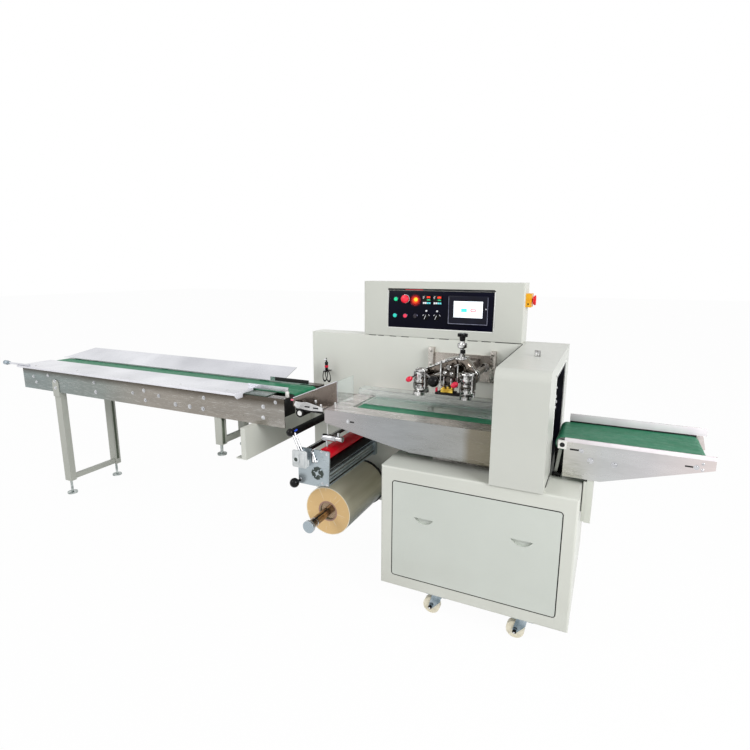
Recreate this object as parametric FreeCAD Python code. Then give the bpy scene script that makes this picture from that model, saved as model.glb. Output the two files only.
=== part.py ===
"""Horizontal flow wrapping machine: infeed conveyor, film unit, forming trough, fin seal head,
end seal housing with rotating jaws, outfeed conveyor, base cabinet and upright back housing.

Lengths are in millimetres. X runs along the product flow, Y to the back, Z up. The values below are
measured from the left side and the front face of the base cabinet, and the floor. When a piece is
written, the whole machine is moved so that its origin is the middle of its footprint.
"""
import FreeCAD, Part
import math
import os

# General clearances
RUNNING_FIT = 0.1
FREE_GAP = 5.0
SHEET = 3.0

# Turned pieces that turn in no bore are prisms of this many sides, with their corners on the circle
WHEEL_SIDES = 32
TURNED_SIDES = 16
BOLT_SIDES = 6

# Base cabinet with its lift-off door
CABINET_LENGTH = 804.0
CABINET_BOTTOM = 115.0
CABINET_TOP = 679.0
CABINET_EDGE_RADIUS = 8.0
DOOR_LEFT = 55.0
DOOR_LENGTH = 697.0
DOOR_BOTTOM = 170.0
DOOR_HEIGHT = 447.0
DOOR_THICKNESS = 18.0
DOOR_GAP = 3.0
DOOR_CORNER_RADIUS = 12.0
GRIP_LENGTH = 86.0
GRIP_DROP = 26.0
GRIP_DEPTH = 12.0
GRIP_INSET = 101.0
GRIP_BELOW_TOP = 150.0

# Upright back housing and the control box on it
BACK_PLANE = 649.0
BACK_DEPTH = 115.0
BACK_LEFT = -742.0
BACK_BOTTOM = 174.0
BACK_TOP = 1155.0
CONTROL_LEFT = -403.0
CONTROL_RIGHT = 464.0
CONTROL_TOP = 1450.0
CONTROL_EDGE_RADIUS = 8.0

# Control panel, touch screen and isolator
PANEL_LEFT = -250.0
PANEL_RIGHT = 312.0
PANEL_BOTTOM = 1212.0
PANEL_TOP = 1402.0
PANEL_RECESS = 8.0
PANEL_MARGIN = 12.0
PANEL_THICKNESS = 3.0
PANEL_CORNER_RADIUS = 12.0
SEAM_HEIGHT = 3.0
SEAM_DEPTH = 4.0
SCREEN_LEFT = 81.0
SCREEN_WIDTH = 208.0
SCREEN_BOTTOM = 1236.0
SCREEN_HEIGHT = 146.0
SCREEN_THICKNESS = 8.0
SCREEN_CORNER_RADIUS = 5.0
BUTTON_RADIUS = 14.0
BUTTON_HEIGHT = 12.0
MUSHROOM_RADIUS = 20.0
MUSHROOM_HEIGHT = 26.0
MUSHROOM_CAP = 10.0
METER_SIZE = 48.0
METER_HEIGHT = 6.0
SMALL_KNOB_RADIUS = 8.0
SELECTOR_RADIUS = 14.0
SELECTOR_HEIGHT = 22.0
BUTTON_COLUMNS = (-214.0, -157.0, -98.0)
METER_COLUMNS = (-37.0, 22.0)
UPPER_ROW = 1358.0
MIDDLE_ROW = 1306.0
LOWER_ROW = 1268.0
ISOLATOR_SIZE = 66.0
ISOLATOR_DEPTH = 26.0
ISOLATOR_BELOW_TOP = 84.0
ISOLATOR_PIN_RADIUS = 6.0
ISOLATOR_SOCKET = 12.0
HANDLE_LENGTH = 52.0
HANDLE_WIDTH = 16.0
HANDLE_DEPTH = 18.0
HANDLE_CORNER_RADIUS = 5.0

# Castors
CASTOR_WHEEL_RADIUS = 37.5
CASTOR_WHEEL_WIDTH = 28.0
CASTOR_INSET_LEFT = 262.0
CASTOR_INSET_RIGHT = 174.0
CASTOR_INSET_Y = 54.0
CASTOR_TRAIL = 30.0
CASTOR_PLATE = 90.0
CASTOR_PLATE_THICKNESS = 4.0
CASTOR_CROWN_RADIUS = 30.0
CASTOR_CROWN_THICKNESS = 9.0
CASTOR_CROWN_GAP = 2.0
CHEEK_TOP_FRONT = 18.0
CHEEK_TOP_REAR = 24.0
CHEEK_FOOT = 9.0
CHEEK_BEND_FRONT = 12.0
CHEEK_BEND_RISE = 30.0
CASTOR_CHEEK = 3.0
CASTOR_SIDE_GAP = 2.0
KINGPIN_RADIUS = 7.0
KINGPIN_HEAD_RADIUS = 11.0
KINGPIN_HEAD_HEIGHT = 3.5
KINGPIN_HEAD_GAP = 0.5
AXLE_RADIUS = 5.0
AXLE_HEAD_RADIUS = 8.0
AXLE_HEAD_HEIGHT = 3.0

# End seal housing and its jaws
HOUSING_LEFT = 469.0
HOUSING_LENGTH = 206.0
HOUSING_FRONT = -7.0
HOUSING_NOSE_RADIUS = 60.0
HOUSING_NOSE_ROUNDING = 0.7
HOUSING_NOSE_TOP = 1147.0
PASSAGE_FRONT = 195.0
PASSAGE_BACK = 620.0
PASSAGE_TOP = 1095.0
PASSAGE_FLOOR = 690.0
JAW_AXIS_X = 572.0
JAW_LINE_Z = 880.0
JAW_SWING_RADIUS = 62.0
JAW_BLADE_THICKNESS = 36.0
JAW_SHAFT_RADIUS = 16.0
JAW_DISC_RADIUS = 30.0
JAW_FRAME_INSET = 3.0
JAW_FRAME_WALL = 20.0
JAW_END_GAP = 35.0
PEG_RADIUS = 11.0
PEG_HEIGHT = 30.0
PEG_X = 578.0
PEG_Y = 338.0

# Forming trough
TROUGH_LEFT = -342.0
TROUGH_FRONT = 100.0
TROUGH_TOP = 862.0
TROUGH_PLATE = 6.0
TROUGH_PANEL_STEPS = ((0.0, 64.0), (304.0, 124.0), (435.0, 146.0), (811.0, 150.0))
TROUGH_BELT_LEFT = -240.0
TROUGH_BELT_FRONT = 204.0
TROUGH_BELT_WIDTH = 228.0
TROUGH_BELT_RIGHT = 455.0
BELT_THICKNESS = 3.0
BELT_SLACK = 0.2
BELT_SLOT_GAP = 4.0
TROUGH_ROLLER_RADIUS = 24.0
TROUGH_AXLE_RADIUS = 8.0
STAND_LEFT = 180.0
STAND_RIGHT = 440.0
STAND_WALL = 30.0
COVER_HEIGHT = 26.0
COVER_THICKNESS = 4.0
COVER_SLOPE = 12.0
COVER_STEP = 14.0
COVER_SHELF = 60.0
COVER_END_GAP = 12.0
STRIP_INSET = 62.0
STRIP_GAP = 2.5
GUIDE_START = (-520.0, 104.0)
GUIDE_BEND = (-345.0, 230.0)
GUIDE_END = (-300.0, 318.0)
GUIDE_LOW = 36.0
GUIDE_HIGH = 110.0
GUIDE_THICKNESS = 3.0
GUIDE_SHELF_DEPTH = 120.0
WINDOW_RISE = 18.0
NOSE_ROLLER_INSET = 40.0
NOSE_ROLLER_DROP = 29.0
NOSE_ROLLER_RADIUS = 20.0
NOSE_HANGER_WALL = 6.0
NOSE_HANGER_WIDTH = 30.0

# Fin seal head
HEAD_LINE_Y = 318.0
HEAD_PLATE_LEFT = 4.0
HEAD_PLATE_RIGHT = 331.0
HEAD_PLATE_BOTTOM = 950.0
HEAD_PLATE_TOP = 1085.0
HEAD_POST_WIDTH = 26.0
HEAD_POST_DEPTH = 29.0
HEAD_POST_TOP = 1112.0
HEAD_PLATE_THICKNESS = 12.0
HEAD_PEAK_TOP = 1115.0
HEAD_PEAK_WIDTH = 44.0
HEAD_ARM_DEPTH = 42.0
HEAD_ARM_DROP = 8.0
HEAD_ARM_LAP = 14.0
HEAD_ROOF_DEPTH = 70.0
HEAD_STEM_WIDTH = 60.0
HEAD_STEM_HEIGHT = 70.0
HEAD_CAP_HEIGHT = 12.0
LEFT_CAP_RADIUS = 30.0
LEFT_CAP_SIDES = 8
RIGHT_CAP_RADIUS = 38.0
GEAR_COLUMN = 56.0
GEAR_COLUMN_BOTTOM = 984.0
GEAR_COLUMN_SHIFT = 28.0
TIE_ROD = 24.0
HEAD_AXLE_SHIFT = 20.0
HEAD_AXLE_RADIUS = 12.0
HEAD_BLOCK_BOTTOM = 958.0
HEAD_BLOCK_TOP = 1046.0
HEAD_BLOCK_WIDTH = 70.0
HEAD_BLOCK_DEPTH = 84.0
HEAD_LEFT_X = 62.0
HEAD_RIGHT_X = 285.0
FIN_WHEEL_RADIUS = 28.0
FIN_WHEEL_WIDTH = 16.0
FIN_WHEEL_DROP = 4.0
FIN_WHEEL_SHAFT_RADIUS = 6.0
FIN_WHEEL_SHAFT_SEAT = 30.0
KNOB_X = 236.0
KNOB_SCREW_RADIUS = 8.0
KNOB_SEAT = 30.0
KNOB_BOTTOM = 1206.0
KNOB_HEIGHT = 20.0
KNOB_RADIUS = 24.0
KNOB_COLLAR_DROP = 46.0
KNOB_COLLAR_RADIUS = 20.0

# Infeed conveyor
INFEED_LEFT = -2745.0
INFEED_RIGHT = -607.0
INFEED_FRONT = 150.0
INFEED_WIDTH = 396.0
INFEED_BOTTOM = 718.0
INFEED_TOP = 869.0
INFEED_BED_THICKNESS = 4.0
INFEED_BELT_TOP = 876.0
INFEED_BELT_WIDTH = 200.0
INFEED_ROLLER_RADIUS = 26.0
INFEED_AXLE_RADIUS = 10.0
INFEED_BELT_INSET = 30.0
INFEED_BELT_NOSE = 10.0
BED_END_GAP = 30.0
WING_TOP = 886.0
WING_LEFT = -2690.0
WING_RIGHT = -870.0
WING_REACH = 66.0
WING_LIP = 12.0
WING_NOSE = 32.0
WING_NOSE_CUT = 22.0
WING_SLOT_FRONT = 36.0
WING_SLOT_BACK = 86.0
WING_LUG_LENGTH = 60.0
WING_LUG_INSET = 60.0
WING_LUG_DEPTH = 8.0
WING_LUG_GAP = 2.0
FAR_WING_RISE = 52.0
FAR_WING_RUN = 170.0
FAR_WING_SHIFT = 40.0
FAR_WING_FLAT = 26.0
FAR_WING_SLANT = 120.0
PLATE_FLANGE = 55.0
RAIL_LAP = 30.0
RAIL_REACH = 230.0
RAIL_INSET = 76.0
RAIL_WIDTH = 4.0
RAIL_HEIGHT = 22.0
GUIDE_ROD_LEFT = -2834.0
GUIDE_ROD_LAP = 120.0
GUIDE_ROD_SETBACK = 56.0
GUIDE_ROD_RADIUS = 7.0
GUIDE_ROD_KNOB = 30.0

# Infeed legs
LEG_X = -2412.0
LEG_WIDTH = 60.0
LEG_DEPTH = 40.0
LEG_WALL = 4.0
LEG_BOTTOM = 95.0
TAB_THICKNESS = 4.0
TAB_HEIGHT = 82.0
TAB_BRIDGE = 30.0
CROSSBAR_HEIGHT = 34.0
CROSSBAR_WIDTH = 20.0
CROSSBAR_RISE = 5.0
FOOT_RADIUS = 32.0
FOOT_THICKNESS = 9.0
FOOT_ROD_RADIUS = 8.0
FOOT_ROD_REACH = 18.0
SHORT_LEG_X = -1053.0
SHORT_LEG_WIDTH = 46.0
SHORT_LEG_SPACING = 190.0
SHORT_LEG_BOTTOM = 560.0
SHORT_FOOT_BOTTOM = 498.0
SHORT_FOOT_RADIUS = 26.0

# Cantilever beam that carries the infeed's right end
BEAM_RIGHT = -785.0
BEAM_THICKNESS = 30.0
BEAM_FRONT = 55.0
BEAM_HEIGHT = 169.0
BEAM_PAD_DEPTH = 90.0
BEAM_PAD_INSET = 15.0
BEAM_FLANGE = 36.0

# Film unit
FILM_PLATE_LEFT = -498.0
FILM_PLATE_RIGHT = -318.0
FILM_PLATE_BOTTOM = 463.0
FILM_PLATE_TOP = 652.0
FILM_PLATE_CHIN = -405.0
FILM_PLATE_CORNER = 7.0
FILM_REAR_WALL = 30.0
LEVER_SLOT_X = -420.0
LEVER_SLOT_WIDTH = 14.0
LEVER_SLOT_DEPTH = 70.0
INSERT_X = -390.0
INSERT_Z = 533.0
INSERT_RADIUS = 32.0
INSERT_SIDES = 8
INSERT_DEPTH = 6.0
FILM_PLATE_FRONT = 100.0
FILM_PLATE_THICKNESS = 8.0
ROLLER_JOURNAL_RADIUS = 8.0
ROLLER_JOURNAL_SEAT = 6.0
ROLLER_END_GAP = 6.0
RED_ROLLER_X = -352.0
RED_ROLLER_Z = 632.0
RED_ROLLER_RADIUS = 31.0
DRIVE_ROLLER_X = -350.0
DRIVE_ROLLER_Z = 573.0
DRIVE_ROLLER_RADIUS = 26.0
TIE_BAR_WIDTH = 30.0
TIE_BAR_HEIGHT = 30.0
TIE_BAR_PLACES = ((-342.0, 522.0), (-342.0, 486.0), (-468.0, 496.0))
DANCER_X = -474.0
DANCER_Z = 628.0
DANCER_SHAFT_RADIUS = 9.0
DANCER_LENGTH = 108.0
DANCER_LEAN = 25.0
DANCER_WIDTH = 22.0
DANCER_ARM_THICKNESS = 10.0
DANCER_ROLLER_RADIUS = 19.0
DANCER_ROLLER_GAP = 4.0
DANCER_KNOB_RADIUS = 20.0
DANCER_KNOB_DEPTH = 18.0
GEARBOX_SIZE = 74.0
GEARBOX_HEIGHT = 90.0
GEARBOX_DEPTH = 38.0
GEARBOX_LID = 18.0
GEARBOX_EDGE = 8.0
GEARBOX_STEP = 46.0
GEARBOX_BELOW_TOP = 6.0
GEARBOX_OVERHANG = 16.0
HAND_BALL_RADIUS = 18.0
HAND_STEM = 12.0
DANCER_SEAT_WALL = 10.0

# Film roll on its cantilever shaft
ROLL_X = -361.0
ROLL_Z = 316.0
ROLL_RADIUS = 126.0
ROLL_FRONT = 148.0
ROLL_WIDTH = 400.0
ROLL_CORE_RADIUS = 54.0
ROLL_CORE_WALL = 8.0
ROLL_SHAFT_RADIUS = 22.0
ROLL_SHAFT_FRONT = -35.0
ROLL_CAP_LENGTH = 14.0
ROLL_CAP_RADIUS = 30.0
CLAMP_DISC_RADIUS = 134.0
CLAMP_DISC_THICKNESS = 10.0
CLAMP_HUB_GAP = 0.3
CLAMP_HUB_LENGTH = 40.0
CLAMP_HUB_INSET = 10.0
BEARING_RADIUS = 55.0
BEARING_THICKNESS = 34.0
BEARING_WALL = 3.0

# Outfeed conveyor
OUTFEED_LEFT = 726.0
OUTFEED_RIGHT = 1236.0
OUTFEED_FRONT = 159.0
OUTFEED_TOP = 862.0
OUTFEED_END_DROP = 52.0
OUTFEED_KNEE = 140.0
OUTFEED_DROP = 162.0
OUTFEED_BELT_LEFT = 692.0
OUTFEED_BELT_RIGHT = 1212.0
OUTFEED_BELT_FRONT = 168.0
OUTFEED_BELT_WIDTH = 228.0
OUTFEED_ROLLER_RADIUS = 24.0
OUTFEED_AXLE_RADIUS = 8.0
OUTFEED_BEARING = 32.0
OUTFEED_BEARING_DEPTH = 12.0
OUTFEED_BEARING_BORE = 9.0
FENCE_TOP = 898.0
FENCE_GAP = 4.0
FENCE_SLOPE = 20.0
BRACKET_GAP = 17.0
BRACKET_LENGTH = 24.0
BRACKET_DEPTH = 380.0
BRACKET_PAD_INSET = 60.0
BRACKET_BOTTOM = 517.0
BRACKET_DROP = 40.0

# Sensor bracket at the left end of the back housing
SENSOR_X = -640.0
SENSOR_Z = 930.0
SENSOR_REACH = 60.0
SENSOR_PLATE = 24.0
SENSOR_WALL = 4.0
SENSOR_HEAD_DEPTH = 18.0
SENSOR_HEAD_HEIGHT = 70.0

# Values worked out from the sizes above
REAR_PLANE = BACK_PLANE + BACK_DEPTH
HOUSING_RIGHT = HOUSING_LEFT + HOUSING_LENGTH
INFEED_BACK = INFEED_FRONT + INFEED_WIDTH
ORIGIN_X = (GUIDE_ROD_LEFT + OUTFEED_RIGHT) / 2
ORIGIN_Y = (ROLL_SHAFT_FRONT + REAR_PLANE) / 2
ISOLATOR_HEIGHT = CONTROL_TOP - ISOLATOR_BELOW_TOP


def point(x, y, z):
    return FreeCAD.Vector(x, y, z)


def block(x0, x1, y0, y1, z0, z1):
    return Part.makeBox(x1 - x0, y1 - y0, z1 - z0, point(x0, y0, z0))


def rod(start, along, length, radius, sides):
    """A round rod, or a prism where a number of sides is given, its corners on the rod's circle."""
    if not sides:
        return Part.makeCylinder(radius, length, start, along)
    first = point(1, 0, 0) if along.z else point(0, 0, 1)
    second = along.cross(first)
    corners = []
    for index in range(sides):
        angle = 2 * math.pi * index / sides
        corners.append(start + first * (radius * math.cos(angle)) + second * (radius * math.sin(angle)))
    return Part.Face(Part.makePolygon(corners + corners[:1])).extrude(along * length)


def rod_x(x0, x1, y, z, radius, sides=0):
    return rod(point(x0, y, z), point(1, 0, 0), x1 - x0, radius, sides)


def rod_y(y0, y1, x, z, radius, sides=0):
    return rod(point(x, y0, z), point(0, 1, 0), y1 - y0, radius, sides)


def rod_z(z0, z1, x, y, radius, sides=0):
    return rod(point(x, y, z0), point(0, 0, 1), z1 - z0, radius, sides)


def plate_xz(corners, y0, y1):
    """A plate with its outline in the XZ plane, from y0 to y1."""
    wire = Part.makePolygon([point(x, y0, z) for x, z in corners] + [point(corners[0][0], y0, corners[0][1])])
    return Part.Face(wire).extrude(point(0, y1 - y0, 0))


def plate_yz(corners, x0, x1):
    """A plate with its outline in the YZ plane, from x0 to x1."""
    wire = Part.makePolygon([point(x0, y, z) for y, z in corners] + [point(x0, *corners[0])])
    return Part.Face(wire).extrude(point(x1 - x0, 0, 0))


def upright_plate(start, end, z_low, z_start, z_end, thickness):
    """A vertical sheet over a line in plan, with its top edge rising from z_start to z_end."""
    dx, dy = end[0] - start[0], end[1] - start[1]
    length = math.hypot(dx, dy)
    side = point(-dy / length * thickness, dx / length * thickness, 0)
    corners = [point(*start, z_low), point(*end, z_low), point(*end, z_end), point(*start, z_start)]
    return Part.Face(Part.makePolygon(corners + corners[:1])).extrude(side)


def rounded(shape, radius, along, where=None):
    """Fillet the straight edges along the named axes, all of them or those that where() picks."""
    picked = []
    for edge in shape.Edges:
        if edge.Curve.TypeId != "Part::GeomLine":
            continue
        a, b = edge.Vertexes[0].Point, edge.Vertexes[-1].Point
        step = b - a
        if all(abs(getattr(step, axis)) < step.Length * 0.999 for axis in along):
            continue
        if where is None or where(a):
            picked.append(edge)
    return shape.makeFillet(radius, picked)


def belt_loop(x0, x1, y0, y1, top, roller_radius, thickness):
    """A closed belt round two rollers of one size, with its top run at the given height."""
    outer_radius = roller_radius + thickness
    middle = top - outer_radius

    def track(radius):
        left, right = x0 + outer_radius, x1 - outer_radius
        body = block(left, right, y0, y1, middle - radius, middle + radius)
        return body.fuse(rod_y(y0, y1, left, middle, radius)).fuse(rod_y(y0, y1, right, middle, radius))

    return track(outer_radius).cut(track(roller_radius)).removeSplitter()


def save(name, *solids):
    """Move the finished solids to the machine's origin and write one node."""
    shape = solids[0] if len(solids) == 1 else Part.makeCompound(list(solids))
    shape = shape.copy()
    shape.translate(point(-ORIGIN_X, -ORIGIN_Y, 0))
    shape.exportStep("parts/%s.step" % name)


def base_cabinet():
    body = block(0, CABINET_LENGTH, 0, REAR_PLANE, CABINET_BOTTOM, CABINET_TOP)
    body = rounded(body, CABINET_EDGE_RADIUS, "xz", lambda p: p.y < 1)
    recess = block(DOOR_LEFT - DOOR_GAP, DOOR_LEFT + DOOR_LENGTH + DOOR_GAP, -1, DOOR_THICKNESS,
                   DOOR_BOTTOM - DOOR_GAP, DOOR_BOTTOM + DOOR_HEIGHT + DOOR_GAP)
    recess = rounded(recess, DOOR_CORNER_RADIUS + DOOR_GAP, "y")
    save("base_cabinet", body.cut(recess))


def cabinet_door():
    door = block(DOOR_LEFT, DOOR_LEFT + DOOR_LENGTH, 0, DOOR_THICKNESS,
                 DOOR_BOTTOM, DOOR_BOTTOM + DOOR_HEIGHT)
    door = rounded(door, DOOR_CORNER_RADIUS, "y")
    line = DOOR_BOTTOM + DOOR_HEIGHT - GRIP_BELOW_TOP
    half = GRIP_LENGTH / 2
    radius = (half * half + GRIP_DROP * GRIP_DROP) / (2 * GRIP_DROP)
    for middle in (DOOR_LEFT + GRIP_INSET + half, DOOR_LEFT + DOOR_LENGTH - GRIP_INSET - half):
        disc = rod_y(-1, GRIP_DEPTH, middle, line - GRIP_DROP + radius, radius)
        below = block(middle - half, middle + half, -1, GRIP_DEPTH, line - GRIP_DROP, line)
        door = door.cut(disc.common(below))
    save("cabinet_door", door)


def castor_places():
    for side_x, x in (("left", CASTOR_INSET_LEFT), ("right", CABINET_LENGTH - CASTOR_INSET_RIGHT)):
        for side_y, y in (("front", CASTOR_INSET_Y), ("rear", REAR_PLANE - CASTOR_INSET_Y)):
            yield "%s_%s" % (side_y, side_x), x, y


def castors():
    plate_bottom = CABINET_BOTTOM - CASTOR_PLATE_THICKNESS
    crown_top = plate_bottom - CASTOR_CROWN_GAP
    crown_bottom = crown_top - CASTOR_CROWN_THICKNESS
    half_plate = CASTOR_PLATE / 2
    axle_z = CASTOR_WHEEL_RADIUS
    inner = CASTOR_WHEEL_WIDTH / 2 + CASTOR_SIDE_GAP
    outer = inner + CASTOR_CHEEK
    plates = []
    for name, x, y in castor_places():
        head_top = crown_bottom - KINGPIN_HEAD_GAP
        pin = rod_z(head_top - 1, plate_bottom, x, y, KINGPIN_RADIUS)
        head = rod_z(head_top - KINGPIN_HEAD_HEIGHT, head_top, x, y, KINGPIN_HEAD_RADIUS, BOLT_SIDES)
        plate = block(x - half_plate, x + half_plate, y - half_plate, y + half_plate,
                      plate_bottom, CABINET_BOTTOM)
        plates.append(plate.fuse(pin).fuse(head).removeSplitter())

        crown = rod_z(crown_bottom, crown_top, x, y, CASTOR_CROWN_RADIUS, TURNED_SIDES)
        axle_x = x - CASTOR_TRAIL
        cheek_top = crown_bottom + 1
        cheek_outline = [(x + CHEEK_TOP_FRONT, cheek_top), (x - CHEEK_TOP_REAR, cheek_top),
                         (axle_x - CHEEK_FOOT - 1, axle_z + 2), (axle_x - CHEEK_FOOT + 1, axle_z - CHEEK_FOOT),
                         (axle_x + CHEEK_FOOT - 1, axle_z - CHEEK_FOOT),
                         (x + CHEEK_BEND_FRONT, axle_z + CHEEK_BEND_RISE)]
        fork = crown
        for y0, y1, head in ((y - outer, y - inner, y - outer - AXLE_HEAD_HEIGHT),
                             (y + inner, y + outer, y + outer - 1)):
            fork = fork.fuse(plate_xz(cheek_outline, y0, y1))
            fork = fork.fuse(rod_y(head, head + AXLE_HEAD_HEIGHT + 1, axle_x, axle_z, AXLE_HEAD_RADIUS,
                                   BOLT_SIDES))
        fork = fork.fuse(rod_y(y - outer + 1, y + outer - 1, axle_x, axle_z, AXLE_RADIUS))
        bore = rod_z(crown_bottom - 1, crown_top + 1, x, y, KINGPIN_RADIUS + RUNNING_FIT)
        save("castor_fork_" + name, fork.cut(bore).removeSplitter())

        half_width = CASTOR_WHEEL_WIDTH / 2
        tyre = rod_y(y - half_width, y + half_width, axle_x, axle_z, CASTOR_WHEEL_RADIUS, WHEEL_SIDES)
        bore = rod_y(y - half_width - 1, y + half_width + 1, axle_x, axle_z, AXLE_RADIUS + RUNNING_FIT)
        save("castor_wheel_" + name, tyre.cut(bore))
    save("castor_plates", *plates)


def back_housing():
    low = block(BACK_LEFT, 0, BACK_PLANE, REAR_PLANE, BACK_BOTTOM, BACK_TOP)
    high = block(0, HOUSING_LEFT, BACK_PLANE, REAR_PLANE, CABINET_TOP, BACK_TOP)
    save("back_housing", low.fuse(high).removeSplitter())


def control_box():
    body = block(CONTROL_LEFT, CONTROL_RIGHT, BACK_PLANE, REAR_PLANE, BACK_TOP, CONTROL_TOP)
    body = rounded(body, CONTROL_EDGE_RADIUS, "z", lambda p: p.y < BACK_PLANE + 1)
    recess = block(PANEL_LEFT - PANEL_MARGIN, PANEL_RIGHT + PANEL_MARGIN, BACK_PLANE - 1,
                   BACK_PLANE + PANEL_RECESS, PANEL_BOTTOM - PANEL_MARGIN, PANEL_TOP + PANEL_MARGIN)
    recess = rounded(recess, PANEL_CORNER_RADIUS, "y")
    seam = block(CONTROL_LEFT - 1, CONTROL_RIGHT + 1, BACK_PLANE - 1, REAR_PLANE + 1, BACK_TOP - 1,
                 BACK_TOP + SEAM_HEIGHT)
    core = block(CONTROL_LEFT + SEAM_DEPTH, CONTROL_RIGHT - SEAM_DEPTH, BACK_PLANE + SEAM_DEPTH,
                 REAR_PLANE - SEAM_DEPTH, BACK_TOP - 2, BACK_TOP + SEAM_HEIGHT + 1)
    save("control_box", body.cut(recess).cut(seam.cut(core)))


def control_panel():
    back = BACK_PLANE + PANEL_RECESS
    face = back - PANEL_THICKNESS
    panel = block(PANEL_LEFT, PANEL_RIGHT, face, back, PANEL_BOTTOM, PANEL_TOP)
    save("control_panel", rounded(panel, PANEL_CORNER_RADIUS, "y"))
    screen = block(SCREEN_LEFT, SCREEN_LEFT + SCREEN_WIDTH, face - SCREEN_THICKNESS, face,
                   SCREEN_BOTTOM, SCREEN_BOTTOM + SCREEN_HEIGHT)
    save("touch_screen", rounded(screen, SCREEN_CORNER_RADIUS, "y"))

    pieces = []
    for column, x in enumerate(BUTTON_COLUMNS):
        if column == 1:
            stem = rod_y(face - MUSHROOM_HEIGHT + 1, face, x, UPPER_ROW, BUTTON_RADIUS, TURNED_SIDES)
            cap = rod_y(face - MUSHROOM_HEIGHT, face - MUSHROOM_HEIGHT + MUSHROOM_CAP, x, UPPER_ROW,
                        MUSHROOM_RADIUS, TURNED_SIDES)
            pieces.append(stem.fuse(cap).removeSplitter())
        else:
            pieces.append(rod_y(face - BUTTON_HEIGHT, face, x, UPPER_ROW, BUTTON_RADIUS, TURNED_SIDES))
        pieces.append(rod_y(face - BUTTON_HEIGHT, face, x, LOWER_ROW, BUTTON_RADIUS, TURNED_SIDES))
    half = METER_SIZE / 2
    for x in METER_COLUMNS:
        pieces.append(block(x - half, x + half, face - METER_HEIGHT, face,
                            UPPER_ROW - half, UPPER_ROW + half))
        pieces.append(rod_y(face - BUTTON_HEIGHT, face, x, MIDDLE_ROW, SMALL_KNOB_RADIUS, TURNED_SIDES))
        pieces.append(rod_y(face - SELECTOR_HEIGHT, face, x, LOWER_ROW, SELECTOR_RADIUS, TURNED_SIDES))
    save("panel_controls", *pieces)


def isolator():
    y = BACK_PLANE + BACK_DEPTH / 2
    half = ISOLATOR_SIZE / 2
    face = CONTROL_RIGHT + ISOLATOR_DEPTH
    plate = block(CONTROL_RIGHT, face, y - half, y + half, ISOLATOR_HEIGHT - half, ISOLATOR_HEIGHT + half)
    socket = rod_x(face - ISOLATOR_SOCKET, face + 1, y, ISOLATOR_HEIGHT, ISOLATOR_PIN_RADIUS + RUNNING_FIT)
    save("isolator_body", plate.cut(socket))
    front = face + 1
    grip = block(front, front + HANDLE_DEPTH, y - HANDLE_WIDTH / 2, y + HANDLE_WIDTH / 2,
                 ISOLATOR_HEIGHT - HANDLE_LENGTH / 2, ISOLATOR_HEIGHT + HANDLE_LENGTH / 2)
    pin = rod_x(face - ISOLATOR_SOCKET + 1, front + 2, y, ISOLATOR_HEIGHT, ISOLATOR_PIN_RADIUS)
    save("isolator_handle", rounded(grip, HANDLE_CORNER_RADIUS, "x").fuse(pin).removeSplitter())


def end_seal_housing():
    nose_start = HOUSING_FRONT + HOUSING_NOSE_RADIUS
    outline = [(HOUSING_FRONT, CABINET_TOP), (REAR_PLANE, CABINET_TOP), (REAR_PLANE, BACK_TOP),
               (nose_start, HOUSING_NOSE_TOP), (HOUSING_FRONT, HOUSING_NOSE_TOP)]
    body = plate_yz(outline, HOUSING_LEFT, HOUSING_RIGHT)
    body = rounded(body, HOUSING_NOSE_RADIUS * HOUSING_NOSE_ROUNDING, "x",
                   lambda p: p.y < HOUSING_FRONT + 1 and p.z > HOUSING_NOSE_TOP - 1)
    passage = block(HOUSING_LEFT - 1, HOUSING_RIGHT + 1, PASSAGE_FRONT, PASSAGE_BACK,
                    PASSAGE_FLOOR, PASSAGE_TOP)
    body = body.cut(passage)
    peg_base = HOUSING_NOSE_TOP
    body = body.fuse(rod_z(peg_base - 5, peg_base + PEG_HEIGHT, PEG_X, PEG_Y, PEG_RADIUS, TURNED_SIDES))
    save("end_seal_housing", body.removeSplitter())


def jaw_heights():
    reach = JAW_SWING_RADIUS + FREE_GAP / 2
    return JAW_LINE_Z + reach, JAW_LINE_Z - reach


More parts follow.
